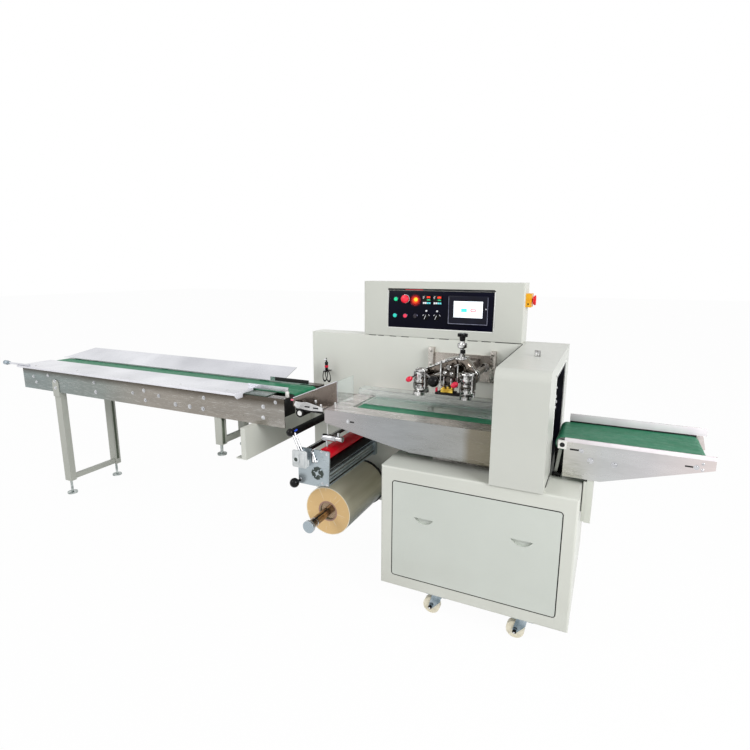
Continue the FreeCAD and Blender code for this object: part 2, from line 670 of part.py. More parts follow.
def end_seal_jaws():
    """The frame in the passage, and the two jaw shafts that turn in its side plates."""
    left, right = HOUSING_LEFT + JAW_FRAME_INSET, HOUSING_RIGHT - JAW_FRAME_INSET
    front, back = PASSAGE_FRONT + FREE_GAP, PASSAGE_BACK - FREE_GAP
    side_front, side_back = front + JAW_FRAME_WALL, back - JAW_FRAME_WALL
    frame = block(left, right, front, back, PASSAGE_FLOOR, PASSAGE_FLOOR + JAW_FRAME_WALL)
    frame = frame.fuse(block(left, right, front, side_front, PASSAGE_FLOOR, PASSAGE_TOP))
    frame = frame.fuse(block(left, right, side_back, back, PASSAGE_FLOOR, PASSAGE_TOP))
    frame = frame.fuse(block(left, right, front, back, PASSAGE_TOP - JAW_FRAME_WALL, PASSAGE_TOP))
    for z in jaw_heights():
        frame = frame.cut(rod_y(front - 1, back + 1, JAW_AXIS_X, z, JAW_SHAFT_RADIUS + RUNNING_FIT))
    save("end_seal_frame", frame.removeSplitter())

    for name, z in zip(("end_seal_upper_jaw", "end_seal_lower_jaw"), jaw_heights()):
        jaw = rod_y(front + 1, back - 1, JAW_AXIS_X, z, JAW_SHAFT_RADIUS)
        blade_front, blade_back = PASSAGE_FRONT + JAW_END_GAP, PASSAGE_BACK - JAW_END_GAP
        blade = block(JAW_AXIS_X - JAW_SWING_RADIUS, JAW_AXIS_X + JAW_SWING_RADIUS, blade_front, blade_back,
                      z - JAW_BLADE_THICKNESS / 2, z + JAW_BLADE_THICKNESS / 2)
        swing = rod_y(PASSAGE_FRONT, PASSAGE_BACK, JAW_AXIS_X, z, JAW_SWING_RADIUS)
        jaw = jaw.fuse(blade.common(swing))
        for y0, y1 in ((side_front + 1, blade_front - 1), (blade_back + 1, side_back - 1)):
            jaw = jaw.fuse(rod_y(y0, y1, JAW_AXIS_X, z, JAW_DISC_RADIUS, TURNED_SIDES))
        save(name, jaw.removeSplitter())


def trough():
    bottom = TROUGH_TOP - TROUGH_PLATE
    belt_back = TROUGH_BELT_FRONT + TROUGH_BELT_WIDTH
    table = block(TROUGH_LEFT, HOUSING_LEFT, TROUGH_FRONT + SHEET, BACK_PLANE, bottom, TROUGH_TOP)
    slot = block(TROUGH_BELT_LEFT - BELT_SLOT_GAP, TROUGH_BELT_RIGHT + BELT_SLOT_GAP,
                 TROUGH_BELT_FRONT - BELT_SLOT_GAP, belt_back + BELT_SLOT_GAP, bottom - 1, TROUGH_TOP + 1)
    table = table.cut(slot)
    for y in (TROUGH_BELT_FRONT - 2 * BELT_SLOT_GAP - STAND_WALL, belt_back + 2 * BELT_SLOT_GAP):
        table = table.fuse(block(STAND_LEFT, STAND_RIGHT, y, y + STAND_WALL, CABINET_TOP, bottom))
        for x in (TROUGH_BELT_LEFT, TROUGH_BELT_RIGHT - 2 * TROUGH_ROLLER_RADIUS):
            table = table.fuse(block(x, x + 2 * TROUGH_ROLLER_RADIUS, y, y + STAND_WALL,
                                     bottom - 2 * TROUGH_ROLLER_RADIUS, bottom))

    outline = [(TROUGH_LEFT, TROUGH_TOP)]
    outline += [(TROUGH_LEFT + run, TROUGH_TOP - drop) for run, drop in TROUGH_PANEL_STEPS]
    outline.append((outline[-1][0], TROUGH_TOP))
    save("trough_front_panel", plate_xz(outline, TROUGH_FRONT, TROUGH_FRONT + SHEET))

    save("trough_belt", belt_loop(TROUGH_BELT_LEFT, TROUGH_BELT_RIGHT, TROUGH_BELT_FRONT, belt_back,
                                  TROUGH_TOP, TROUGH_ROLLER_RADIUS, BELT_THICKNESS))
    middle = TROUGH_TOP - BELT_THICKNESS - TROUGH_ROLLER_RADIUS
    stand_gap = 2 * BELT_SLOT_GAP
    for x in (TROUGH_BELT_LEFT + TROUGH_ROLLER_RADIUS + BELT_THICKNESS,
              TROUGH_BELT_RIGHT - TROUGH_ROLLER_RADIUS - BELT_THICKNESS):
        drum = rod_y(TROUGH_BELT_FRONT, belt_back, x, middle, TROUGH_ROLLER_RADIUS - BELT_SLACK, TURNED_SIDES)
        axle = rod_y(TROUGH_BELT_FRONT - stand_gap, belt_back + stand_gap, x, middle, TROUGH_AXLE_RADIUS,
                     TURNED_SIDES)
        table = table.fuse(drum).fuse(axle)
    save("trough_table", table.removeSplitter())

    foot = belt_back + COVER_STEP
    bend = foot + COVER_SLOPE
    top = TROUGH_TOP + COVER_HEIGHT
    sheet = plate_yz([(foot, TROUGH_TOP), (foot + COVER_THICKNESS, TROUGH_TOP), (bend, top),
                      (bend + COVER_SHELF, top), (bend + COVER_SHELF, top + COVER_THICKNESS),
                      (bend - COVER_THICKNESS, top + COVER_THICKNESS)],
                     TROUGH_LEFT + FREE_GAP, HOUSING_LEFT - COVER_END_GAP)
    strip = block(TROUGH_BELT_LEFT + COVER_STEP, HOUSING_LEFT - COVER_END_GAP,
                  TROUGH_BELT_FRONT + STRIP_INSET, foot + COVER_THICKNESS,
                  TROUGH_TOP + STRIP_GAP, TROUGH_TOP + STRIP_GAP + SHEET)
    save("trough_cover", sheet.fuse(strip).removeSplitter())


def film_guide():
    low = TROUGH_TOP
    near = upright_plate(GUIDE_START, GUIDE_BEND, low, low + GUIDE_LOW, low + GUIDE_HIGH, GUIDE_THICKNESS)
    window_start = (GUIDE_BEND[0] + GUIDE_THICKNESS, GUIDE_BEND[1] + GUIDE_THICKNESS)
    far = upright_plate(window_start, GUIDE_END, low, low + GUIDE_HIGH, low + GUIDE_HIGH + WINDOW_RISE,
                        GUIDE_THICKNESS)
    save("film_guide_window", far)

    shelf_front, shelf_back = TROUGH_FRONT + SHEET, GUIDE_END[1] + GUIDE_SHELF_DEPTH
    shelf_bottom = TROUGH_TOP - TROUGH_PLATE
    guide = near.fuse(block(GUIDE_START[0], TROUGH_LEFT, shelf_front, shelf_back, shelf_bottom, TROUGH_TOP))
    roller_x = GUIDE_START[0] + NOSE_ROLLER_INSET
    roller_z = shelf_bottom - NOSE_ROLLER_DROP
    wall = NOSE_HANGER_WALL
    for y in (shelf_front, shelf_back - wall):
        hanger = block(roller_x - NOSE_HANGER_WIDTH / 2, roller_x + NOSE_HANGER_WIDTH / 2, y, y + wall,
                       roller_z - NOSE_HANGER_WIDTH / 2, shelf_bottom + 1)
        guide = guide.fuse(hanger)
    bore = ROLLER_JOURNAL_RADIUS + RUNNING_FIT
    guide = guide.cut(rod_y(shelf_front - 1, shelf_back + 1, roller_x, roller_z, bore))
    save("film_guide", guide.removeSplitter())

    roller = rod_y(shelf_front + wall + FREE_GAP, shelf_back - wall - FREE_GAP, roller_x, roller_z,
                   NOSE_ROLLER_RADIUS)
    journal = rod_y(shelf_front + 1, shelf_back - 1, roller_x, roller_z, ROLLER_JOURNAL_RADIUS)
    save("nose_roller", roller.fuse(journal).removeSplitter())


def fin_seal_head():
    face = BACK_PLANE - HEAD_POST_DEPTH
    plate = block(HEAD_PLATE_LEFT, HEAD_PLATE_RIGHT, BACK_PLANE - HEAD_PLATE_THICKNESS, BACK_PLANE,
                  HEAD_PLATE_BOTTOM, HEAD_PLATE_TOP)
    for x in (HEAD_PLATE_LEFT - HEAD_POST_WIDTH / 2, HEAD_PLATE_RIGHT - HEAD_POST_WIDTH / 2):
        plate = plate.fuse(block(x, x + HEAD_POST_WIDTH, face, BACK_PLANE, HEAD_PLATE_BOTTOM, HEAD_POST_TOP))
    save("fin_seal_bracket", plate.removeSplitter())

    front = HEAD_LINE_Y - HEAD_BLOCK_DEPTH / 2
    back = HEAD_LINE_Y + HEAD_BLOCK_DEPTH / 2
    plate_face = BACK_PLANE - HEAD_PLATE_THICKNESS
    half = HEAD_PEAK_WIDTH / 2
    shoulder = HEAD_BLOCK_TOP - HEAD_ARM_DROP
    roof = [(HEAD_LEFT_X, shoulder - HEAD_ARM_DEPTH), (HEAD_LEFT_X, shoulder), (KNOB_X - half, HEAD_PEAK_TOP),
            (KNOB_X + half, HEAD_PEAK_TOP), (HEAD_RIGHT_X, shoulder),
            (HEAD_RIGHT_X, shoulder - HEAD_ARM_DEPTH), (KNOB_X, HEAD_PEAK_TOP - HEAD_ARM_DEPTH)]
    body = plate_xz(roof, back - HEAD_ARM_LAP, back - HEAD_ARM_LAP + HEAD_ROOF_DEPTH)
    body = body.fuse(block(KNOB_X - HEAD_STEM_WIDTH / 2, KNOB_X + HEAD_STEM_WIDTH / 2, back - HEAD_ARM_LAP,
                           plate_face, HEAD_PEAK_TOP - HEAD_STEM_HEIGHT, HEAD_PEAK_TOP - FREE_GAP))
    for x, cap_radius, sides in ((HEAD_LEFT_X, LEFT_CAP_RADIUS, LEFT_CAP_SIDES),
                                 (HEAD_RIGHT_X, RIGHT_CAP_RADIUS, TURNED_SIDES)):
        body = body.fuse(block(x - HEAD_BLOCK_WIDTH / 2, x + HEAD_BLOCK_WIDTH / 2, front, back,
                               HEAD_BLOCK_BOTTOM, HEAD_BLOCK_TOP))
        body = body.fuse(rod_z(HEAD_BLOCK_TOP - 1, HEAD_BLOCK_TOP + HEAD_CAP_HEIGHT, x, HEAD_LINE_Y,
                               cap_radius, sides))
    gear_x = (HEAD_LEFT_X + HEAD_RIGHT_X) / 2 + GEAR_COLUMN_SHIFT
    body = body.fuse(block(gear_x - GEAR_COLUMN / 2, gear_x + GEAR_COLUMN / 2, HEAD_LINE_Y - GEAR_COLUMN / 2,
                           back - HEAD_ARM_LAP + 1, GEAR_COLUMN_BOTTOM, HEAD_PEAK_TOP - HEAD_ARM_DEPTH))
    body = body.fuse(block(HEAD_LEFT_X, HEAD_RIGHT_X, HEAD_LINE_Y - TIE_ROD / 2, HEAD_LINE_Y + TIE_ROD / 2,
                           GEAR_COLUMN_BOTTOM + TIE_ROD, GEAR_COLUMN_BOTTOM + 2 * TIE_ROD))
    body = body.fuse(rod_y(back - 1, plate_face, HEAD_RIGHT_X + HEAD_AXLE_SHIFT, shoulder, HEAD_AXLE_RADIUS,
                           TURNED_SIDES))
    for name, x, y in fin_wheel_places():
        body = body.cut(rod_z(HEAD_BLOCK_BOTTOM - 1, HEAD_BLOCK_BOTTOM + FIN_WHEEL_SHAFT_SEAT, x, y,
                              FIN_WHEEL_SHAFT_RADIUS + RUNNING_FIT))
    body = body.cut(rod_z(HEAD_PEAK_TOP - KNOB_SEAT, HEAD_PEAK_TOP + 1, KNOB_X, knob_y(),
                          KNOB_SCREW_RADIUS + RUNNING_FIT))
    save("fin_seal_head", body.removeSplitter())

    for name, x, y in fin_wheel_places():
        disc_top = HEAD_BLOCK_BOTTOM - FIN_WHEEL_DROP
        disc = rod_z(disc_top - FIN_WHEEL_WIDTH, disc_top, x, y, FIN_WHEEL_RADIUS, WHEEL_SIDES)
        shaft = rod_z(disc_top - 1, HEAD_BLOCK_BOTTOM + FIN_WHEEL_SHAFT_SEAT - 1, x, y,
                      FIN_WHEEL_SHAFT_RADIUS)
        save(name, disc.fuse(shaft).removeSplitter())

    y = knob_y()
    screw = rod_z(HEAD_PEAK_TOP - KNOB_SEAT + 1, KNOB_BOTTOM + 2, KNOB_X, y, KNOB_SCREW_RADIUS)
    collar = rod_z(KNOB_BOTTOM - KNOB_COLLAR_DROP, KNOB_BOTTOM - KNOB_COLLAR_DROP + KNOB_HEIGHT, KNOB_X, y,
                   KNOB_COLLAR_RADIUS, TURNED_SIDES)
    star = rod_z(KNOB_BOTTOM, KNOB_BOTTOM + KNOB_HEIGHT, KNOB_X, y, KNOB_RADIUS, TURNED_SIDES)
    save("height_knob", screw.fuse(collar).fuse(star).removeSplitter())


def knob_y():
    return HEAD_LINE_Y + HEAD_BLOCK_DEPTH / 2 - HEAD_ARM_LAP + HEAD_ROOF_DEPTH / 2


def fin_wheel_places():
    offset = FIN_WHEEL_RADIUS + FREE_GAP / 2
    for side, x in (("left", HEAD_LEFT_X), ("right", HEAD_RIGHT_X)):
        for row, y in (("front", HEAD_LINE_Y - offset), ("rear", HEAD_LINE_Y + offset)):
            yield "fin_wheel_%s_%s" % (side, row), x, y


def infeed():
    outline = [(INFEED_LEFT, INFEED_BOTTOM), (INFEED_RIGHT, INFEED_BOTTOM), (INFEED_RIGHT, INFEED_TOP),
               (INFEED_LEFT, INFEED_TOP)]
    near = plate_xz(outline, INFEED_FRONT, INFEED_FRONT + SHEET)
    near = near.fuse(block(INFEED_LEFT, INFEED_RIGHT, INFEED_FRONT, INFEED_FRONT + PLATE_FLANGE,
                           INFEED_TOP - SHEET, INFEED_TOP))
    far = plate_xz(outline, INFEED_BACK - SHEET, INFEED_BACK)
    far = far.fuse(block(INFEED_LEFT, INFEED_RIGHT, INFEED_BACK - PLATE_FLANGE, INFEED_BACK,
                         INFEED_TOP - SHEET, INFEED_TOP))
    save("infeed_side_plates", near.removeSplitter(), far.removeSplitter())
    bed_top = INFEED_BELT_TOP - BELT_THICKNESS
    roller_inner = INFEED_BELT_INSET + BED_END_GAP + 2 * INFEED_ROLLER_RADIUS
    inner_front, inner_back = INFEED_FRONT + SHEET, INFEED_BACK - SHEET
    bed = block(INFEED_LEFT + roller_inner, INFEED_RIGHT - roller_inner, inner_front, inner_back,
                bed_top - INFEED_BED_THICKNESS, bed_top)
    save("infeed_bed", bed)
    middle_y = (INFEED_FRONT + INFEED_BACK) / 2
    belt_front = middle_y - INFEED_BELT_WIDTH / 2
    belt_back = middle_y + INFEED_BELT_WIDTH / 2
    belt_left, belt_right = INFEED_LEFT + INFEED_BELT_INSET, INFEED_RIGHT + INFEED_BELT_NOSE
    save("infeed_belt", belt_loop(belt_left, belt_right, belt_front, belt_back,
                                  INFEED_BELT_TOP, INFEED_ROLLER_RADIUS, BELT_THICKNESS))
    outer = INFEED_ROLLER_RADIUS + BELT_THICKNESS
    middle_z = INFEED_BELT_TOP - outer
    rollers = []
    for x in (belt_left + outer, belt_right - outer):
        drum = rod_y(belt_front, belt_back, x, middle_z, INFEED_ROLLER_RADIUS - BELT_SLACK, TURNED_SIDES)
        axle = rod_y(inner_front, inner_back, x, middle_z, INFEED_AXLE_RADIUS, TURNED_SIDES)
        rollers.append(drum.fuse(axle).removeSplitter())
    save("infeed_rollers", *rollers)

    slot_front = middle_y - WING_SLOT_FRONT
    slot_back = middle_y + WING_SLOT_BACK
    wing_bottom = WING_TOP - SHEET
    wing_front, nose_back = INFEED_FRONT - WING_REACH, INFEED_FRONT - FREE_GAP
    near = block(WING_LEFT, WING_RIGHT, wing_front, slot_front, wing_bottom, WING_TOP)
    near = near.fuse(block(WING_LEFT, WING_RIGHT, wing_front, wing_front + SHEET, WING_TOP - WING_LIP, WING_TOP))
    nose_outline = [(wing_front, WING_TOP), (wing_front, WING_TOP - WING_LIP),
                    (wing_front + WING_NOSE_CUT, WING_TOP - WING_NOSE), (nose_back, WING_TOP - WING_NOSE),
                    (nose_back, WING_TOP)]
    near = near.fuse(plate_yz(nose_outline, WING_RIGHT - SHEET, WING_RIGHT))
    rail_left, rail_right = WING_RIGHT - RAIL_LAP, WING_RIGHT + RAIL_REACH
    rail_front = slot_front - RAIL_INSET
    near = near.fuse(block(rail_left, rail_right, rail_front, rail_front + RAIL_WIDTH,
                           WING_TOP - 1, WING_TOP + RAIL_HEIGHT))
    rail_line = WING_TOP + GUIDE_ROD_RADIUS - 1
    rod_line = INFEED_FRONT - GUIDE_ROD_SETBACK
    near = near.fuse(rod_x(GUIDE_ROD_LEFT, WING_LEFT + GUIDE_ROD_LAP, rod_line, rail_line, GUIDE_ROD_RADIUS,
                           TURNED_SIDES))
    near = near.fuse(rod_x(GUIDE_ROD_LEFT, GUIDE_ROD_LEFT + GUIDE_ROD_KNOB, rod_line, rail_line,
                           2 * GUIDE_ROD_RADIUS, TURNED_SIDES))
    lug_places = (WING_LEFT + WING_LUG_INSET, (WING_LEFT + WING_RIGHT) / 2,
                  WING_RIGHT - WING_LUG_INSET - WING_LUG_LENGTH)
    lug_back = belt_front - WING_LUG_GAP
    for x in lug_places:
        near = near.fuse(block(x, x + WING_LUG_LENGTH, lug_back - WING_LUG_DEPTH, lug_back,
                               bed_top, wing_bottom))
    far_outline = [(slot_back, wing_bottom), (slot_back + FAR_WING_FLAT, wing_bottom),
                   (slot_back + FAR_WING_RUN, wing_bottom + FAR_WING_RISE),
                   (slot_back + FAR_WING_RUN, WING_TOP + FAR_WING_RISE),
                   (slot_back + FAR_WING_FLAT, WING_TOP), (slot_back, WING_TOP)]
    far = plate_yz(far_outline, WING_LEFT - FAR_WING_SHIFT, WING_RIGHT + FAR_WING_SHIFT)
    far_left, far_back = WING_LEFT - FAR_WING_SHIFT - 1, slot_back + FAR_WING_RUN + 1
    corners = [point(far_left, slot_back + FAR_WING_FLAT, 0), point(far_left, far_back, 0),
               point(far_left + FAR_WING_SLANT, far_back, 0), point(far_left, slot_back + FAR_WING_FLAT, 0)]
    far = far.cut(Part.Face(Part.makePolygon(corners)).extrude(point(0, 0, 2 * WING_TOP)))
    far = far.fuse(block(rail_left, rail_right, slot_back, slot_back + RAIL_WIDTH, wing_bottom + 1,
                         WING_TOP + RAIL_HEIGHT))
    lug_front = belt_back + WING_LUG_GAP
    for x in lug_places:
        far = far.fuse(block(x, x + WING_LUG_LENGTH, lug_front, lug_front + WING_LUG_DEPTH,
                             bed_top, wing_bottom))
    save("infeed_wings", near.removeSplitter(), far.removeSplitter())


def leg(x, y, width, z0, z1):
    """A channel leg, open to the left, with its web on the right."""
    half, deep = width / 2, LEG_DEPTH / 2
    outer = block(x - half, x + half, y - deep, y + deep, z0, z1)
    inner = block(x - half - 1, x + half - LEG_WALL, y - deep + LEG_WALL, y + deep - LEG_WALL,
                  z0 + LEG_WALL, z1 + 1)
    return outer.cut(inner)


def infeed_legs():
    top = INFEED_TOP - SHEET
    front = INFEED_FRONT + SHEET + LEG_DEPTH / 2
    back = INFEED_BACK - SHEET - LEG_DEPTH / 2
    frame = leg(LEG_X, front, LEG_WIDTH, LEG_BOTTOM, top).fuse(leg(LEG_X, back, LEG_WIDTH, LEG_BOTTOM, top))
    bar_bottom = LEG_BOTTOM + CROSSBAR_RISE
    frame = frame.fuse(block(LEG_X, LEG_X + CROSSBAR_WIDTH, front, back, bar_bottom,
                             bar_bottom + CROSSBAR_HEIGHT))
    left, right = LEG_X - LEG_WIDTH / 2, LEG_X + LEG_WIDTH / 2
    tab_front, tab_bottom = INFEED_FRONT - TAB_THICKNESS, INFEED_BOTTOM - TAB_BRIDGE
    tab = block(left, right, tab_front, INFEED_FRONT, tab_bottom, INFEED_BOTTOM + TAB_HEIGHT)
    tab = rounded(tab, LEG_WIDTH / 3, "y", lambda p: p.z > INFEED_BOTTOM)
    frame = frame.fuse(tab)
    frame = frame.fuse(block(left, right, tab_front, INFEED_FRONT + SHEET + 1, tab_bottom, INFEED_BOTTOM))
    for y in (front, back):
        frame = frame.fuse(rod_z(0, FOOT_THICKNESS, LEG_X, y, FOOT_RADIUS, TURNED_SIDES))
        frame = frame.fuse(rod_z(FOOT_THICKNESS - 1, LEG_BOTTOM + FOOT_ROD_REACH, LEG_X, y, FOOT_ROD_RADIUS,
                                 TURNED_SIDES))
    save("infeed_legs", frame.removeSplitter())

    short_back = front + SHORT_LEG_SPACING
    half = SHORT_LEG_WIDTH / 2
    short = leg(SHORT_LEG_X, front, SHORT_LEG_WIDTH, SHORT_LEG_BOTTOM, top)
    short = short.fuse(leg(SHORT_LEG_X, short_back, SHORT_LEG_WIDTH, SHORT_LEG_BOTTOM, INFEED_BOTTOM + 1))
    short = short.fuse(block(SHORT_LEG_X - half, SHORT_LEG_X + half, INFEED_FRONT + SHEET,
                             INFEED_BACK - SHEET, INFEED_BOTTOM, INFEED_BOTTOM + CROSSBAR_HEIGHT))
    bar_bottom = SHORT_LEG_BOTTOM + CROSSBAR_RISE
    short = short.fuse(block(SHORT_LEG_X, SHORT_LEG_X + CROSSBAR_WIDTH, front, short_back,
                             bar_bottom, bar_bottom + CROSSBAR_HEIGHT))
    for y in (front, short_back):
        short = short.fuse(rod_z(SHORT_FOOT_BOTTOM, SHORT_FOOT_BOTTOM + FOOT_THICKNESS, SHORT_LEG_X, y,
                                 SHORT_FOOT_RADIUS, TURNED_SIDES))
        short = short.fuse(rod_z(SHORT_FOOT_BOTTOM + FOOT_THICKNESS - 1, SHORT_LEG_BOTTOM + FOOT_ROD_REACH,
                                 SHORT_LEG_X, y, FOOT_ROD_RADIUS, TURNED_SIDES))
    save("infeed_short_legs", short.removeSplitter())


def infeed_beam():
    bottom = INFEED_BOTTOM - BEAM_HEIGHT
    left = BEAM_RIGHT - BEAM_THICKNESS
    beam = block(left, BEAM_RIGHT, BEAM_FRONT, REAR_PLANE, bottom, INFEED_BOTTOM)
    pad = block(BEAM_RIGHT, BACK_LEFT, REAR_PLANE - BEAM_PAD_DEPTH, REAR_PLANE - BEAM_PAD_INSET / 2,
                bottom + BEAM_PAD_INSET, INFEED_BOTTOM - BEAM_PAD_INSET)
    flange = block(left - BEAM_FLANGE, left + 1, BEAM_FRONT, BEAM_FRONT + BEAM_FLANGE,
                   bottom, bottom + SHEET * 2)
    save("infeed_beam", beam.fuse(pad).fuse(flange).removeSplitter())


def film_unit():
    back = FILM_PLATE_FRONT + FILM_PLATE_THICKNESS
    rear_front = BACK_PLANE - FILM_REAR_WALL
    seats = ((RED_ROLLER_X, RED_ROLLER_Z), (DRIVE_ROLLER_X, DRIVE_ROLLER_Z))
    corner = FILM_PLATE_CORNER
    outline = [(FILM_PLATE_LEFT, FILM_PLATE_TOP), (FILM_PLATE_RIGHT, FILM_PLATE_TOP),
               (FILM_PLATE_RIGHT - corner, FILM_PLATE_BOTTOM + 2 * corner),
               (FILM_PLATE_CHIN, FILM_PLATE_BOTTOM), (FILM_PLATE_LEFT, FILM_PLATE_BOTTOM)]
    frame = plate_xz(outline, FILM_PLATE_FRONT, back)
    frame = rounded(frame, corner, "y")
    frame = frame.cut(block(LEVER_SLOT_X, LEVER_SLOT_X + LEVER_SLOT_WIDTH, FILM_PLATE_FRONT - 1, back + 1,
                            FILM_PLATE_TOP - LEVER_SLOT_DEPTH, FILM_PLATE_TOP + 1))
    frame = frame.fuse(block(FILM_PLATE_LEFT, FILM_PLATE_RIGHT, rear_front, BACK_PLANE, FILM_PLATE_BOTTOM,
                             FILM_PLATE_TOP))
    for x, z in TIE_BAR_PLACES:
        frame = frame.fuse(block(x - TIE_BAR_WIDTH / 2, x + TIE_BAR_WIDTH / 2, back - 1, rear_front + 1,
                                 z - TIE_BAR_HEIGHT / 2, z + TIE_BAR_HEIGHT / 2))
    for x, z in seats:
        frame = frame.cut(rod_y(back - ROLLER_JOURNAL_SEAT, rear_front + ROLLER_JOURNAL_SEAT, x, z,
                                ROLLER_JOURNAL_RADIUS + RUNNING_FIT))
    frame = frame.cut(rod_y(FILM_PLATE_FRONT - 1, BACK_PLANE - DANCER_SEAT_WALL, DANCER_X, DANCER_Z,
                            DANCER_SHAFT_RADIUS + RUNNING_FIT))
    save("film_unit_frame", frame.removeSplitter())

    for name, (x, z), radius in (("red_roller", seats[0], RED_ROLLER_RADIUS),
                                 ("drive_roller", seats[1], DRIVE_ROLLER_RADIUS)):
        roller = rod_y(back + ROLLER_END_GAP, rear_front - ROLLER_END_GAP, x, z, radius)
        journal = rod_y(back - ROLLER_JOURNAL_SEAT + 1, rear_front + ROLLER_JOURNAL_SEAT - 1, x, z,
                        ROLLER_JOURNAL_RADIUS)
        save(name, roller.fuse(journal).removeSplitter())

    gear_top = FILM_PLATE_TOP - GEARBOX_BELOW_TOP
    gear_left = FILM_PLATE_LEFT - GEARBOX_OVERHANG
    gear_front = FILM_PLATE_FRONT - GEARBOX_DEPTH
    gear_right, gear_bottom = gear_left + GEARBOX_SIZE, gear_top - GEARBOX_HEIGHT
    edge = GEARBOX_EDGE
    gear = block(gear_left, gear_right, gear_front, gear_front + GEARBOX_LID, gear_bottom, gear_top)
    gear = rounded(gear, edge, "y")
    gear = gear.fuse(block(gear_left + edge, gear_right - edge, gear_front + 1, FILM_PLATE_FRONT,
                           gear_bottom + edge, gear_top - GEARBOX_STEP))
    insert = rod_y(FILM_PLATE_FRONT - INSERT_DEPTH, FILM_PLATE_FRONT, INSERT_X, INSERT_Z, INSERT_RADIUS,
                   INSERT_SIDES)
    ball_z = FILM_PLATE_BOTTOM + HAND_BALL_RADIUS
    ball_x = FILM_PLATE_LEFT + HAND_BALL_RADIUS / 2
    ball_back = FILM_PLATE_FRONT - HAND_STEM
    stem = rod_y(ball_back, FILM_PLATE_FRONT, ball_x, ball_z, HAND_BALL_RADIUS / 3, TURNED_SIDES)
    ball = rod_y(ball_back - 2 * HAND_BALL_RADIUS, ball_back, ball_x, ball_z, HAND_BALL_RADIUS, TURNED_SIDES)
    save("film_unit_fittings", gear, insert, ball.fuse(stem).removeSplitter())


def dancer():
    """The film dancer: two arms on a shaft, with a free roller between their upper ends."""
    lean = math.radians(DANCER_LEAN)
    tip_x = DANCER_X - DANCER_LENGTH * math.sin(lean)
    tip_z = DANCER_Z + DANCER_LENGTH * math.cos(lean)
    front_arm = FILM_PLATE_FRONT - FREE_GAP - DANCER_ARM_THICKNESS
    rear_arm = BACK_PLANE - FILM_REAR_WALL - FREE_GAP - DANCER_ARM_THICKNESS
    shaft = rod_y(front_arm, BACK_PLANE - DANCER_SEAT_WALL - 1, DANCER_X, DANCER_Z, DANCER_SHAFT_RADIUS)
    across_x = math.cos(lean) * DANCER_WIDTH / 2
    across_z = math.sin(lean) * DANCER_WIDTH / 2
    outline = [(DANCER_X - across_x, DANCER_Z - across_z), (DANCER_X + across_x, DANCER_Z + across_z),
               (tip_x + across_x, tip_z + across_z), (tip_x - across_x, tip_z - across_z)]
    for y in (front_arm, rear_arm):
        arm = plate_xz(outline, y, y + DANCER_ARM_THICKNESS)
        arm = arm.fuse(rod_y(y, y + DANCER_ARM_THICKNESS, DANCER_X, DANCER_Z, DANCER_WIDTH / 2, TURNED_SIDES))
        arm = arm.fuse(rod_y(y, y + DANCER_ARM_THICKNESS, tip_x, tip_z, DANCER_WIDTH / 2, TURNED_SIDES))
        shaft = shaft.fuse(arm)
    knob = rod_y(front_arm - DANCER_KNOB_DEPTH, front_arm, tip_x, tip_z, DANCER_KNOB_RADIUS, TURNED_SIDES)
    pin_back = front_arm + DANCER_ARM_THICKNESS
    pin = rod_y(pin_back - 1, rear_arm + 1, tip_x, tip_z, ROLLER_JOURNAL_RADIUS)
    save("dancer_arm", shaft.fuse(knob).fuse(pin).removeSplitter())
    tube = rod_y(pin_back + DANCER_ROLLER_GAP, rear_arm - DANCER_ROLLER_GAP, tip_x, tip_z, DANCER_ROLLER_RADIUS)
    bore = rod_y(pin_back, rear_arm, tip_x, tip_z, ROLLER_JOURNAL_RADIUS + RUNNING_FIT)
    save("dancer_roller", tube.cut(bore))


def film_roll():
    roll_back = ROLL_FRONT + ROLL_WIDTH
    roll = rod_y(ROLL_FRONT, roll_back, ROLL_X, ROLL_Z, ROLL_RADIUS)
    bore_radius = ROLL_CORE_RADIUS - ROLL_CORE_WALL
    save("film_roll", roll.cut(rod_y(ROLL_FRONT - 1, roll_back + 1, ROLL_X, ROLL_Z, bore_radius)))

    bearing_front = BACK_PLANE - BEARING_THICKNESS
    disc = rod_y(roll_back, roll_back + CLAMP_DISC_THICKNESS, ROLL_X, ROLL_Z, CLAMP_DISC_RADIUS, WHEEL_SIDES)
    shaft = rod_y(ROLL_SHAFT_FRONT, BACK_PLANE - BEARING_WALL - 1, ROLL_X, ROLL_Z, ROLL_SHAFT_RADIUS)
    cap = rod_y(ROLL_SHAFT_FRONT, ROLL_SHAFT_FRONT + ROLL_CAP_LENGTH, ROLL_X, ROLL_Z, ROLL_CAP_RADIUS,
                TURNED_SIDES)
    for y in (ROLL_FRONT + CLAMP_HUB_INSET, roll_back - CLAMP_HUB_LENGTH):
        hub_radius = bore_radius - CLAMP_HUB_GAP
        shaft = shaft.fuse(rod_y(y, y + CLAMP_HUB_LENGTH, ROLL_X, ROLL_Z, hub_radius, WHEEL_SIDES))
    save("film_shaft", shaft.fuse(disc).fuse(cap).removeSplitter())
    bearing = rod_y(bearing_front, BACK_PLANE, ROLL_X, ROLL_Z, BEARING_RADIUS, TURNED_SIDES)
    bore = rod_y(bearing_front - 1, BACK_PLANE - BEARING_WALL, ROLL_X, ROLL_Z, ROLL_SHAFT_RADIUS + RUNNING_FIT)
    save("shaft_bearing", bearing.cut(bore))


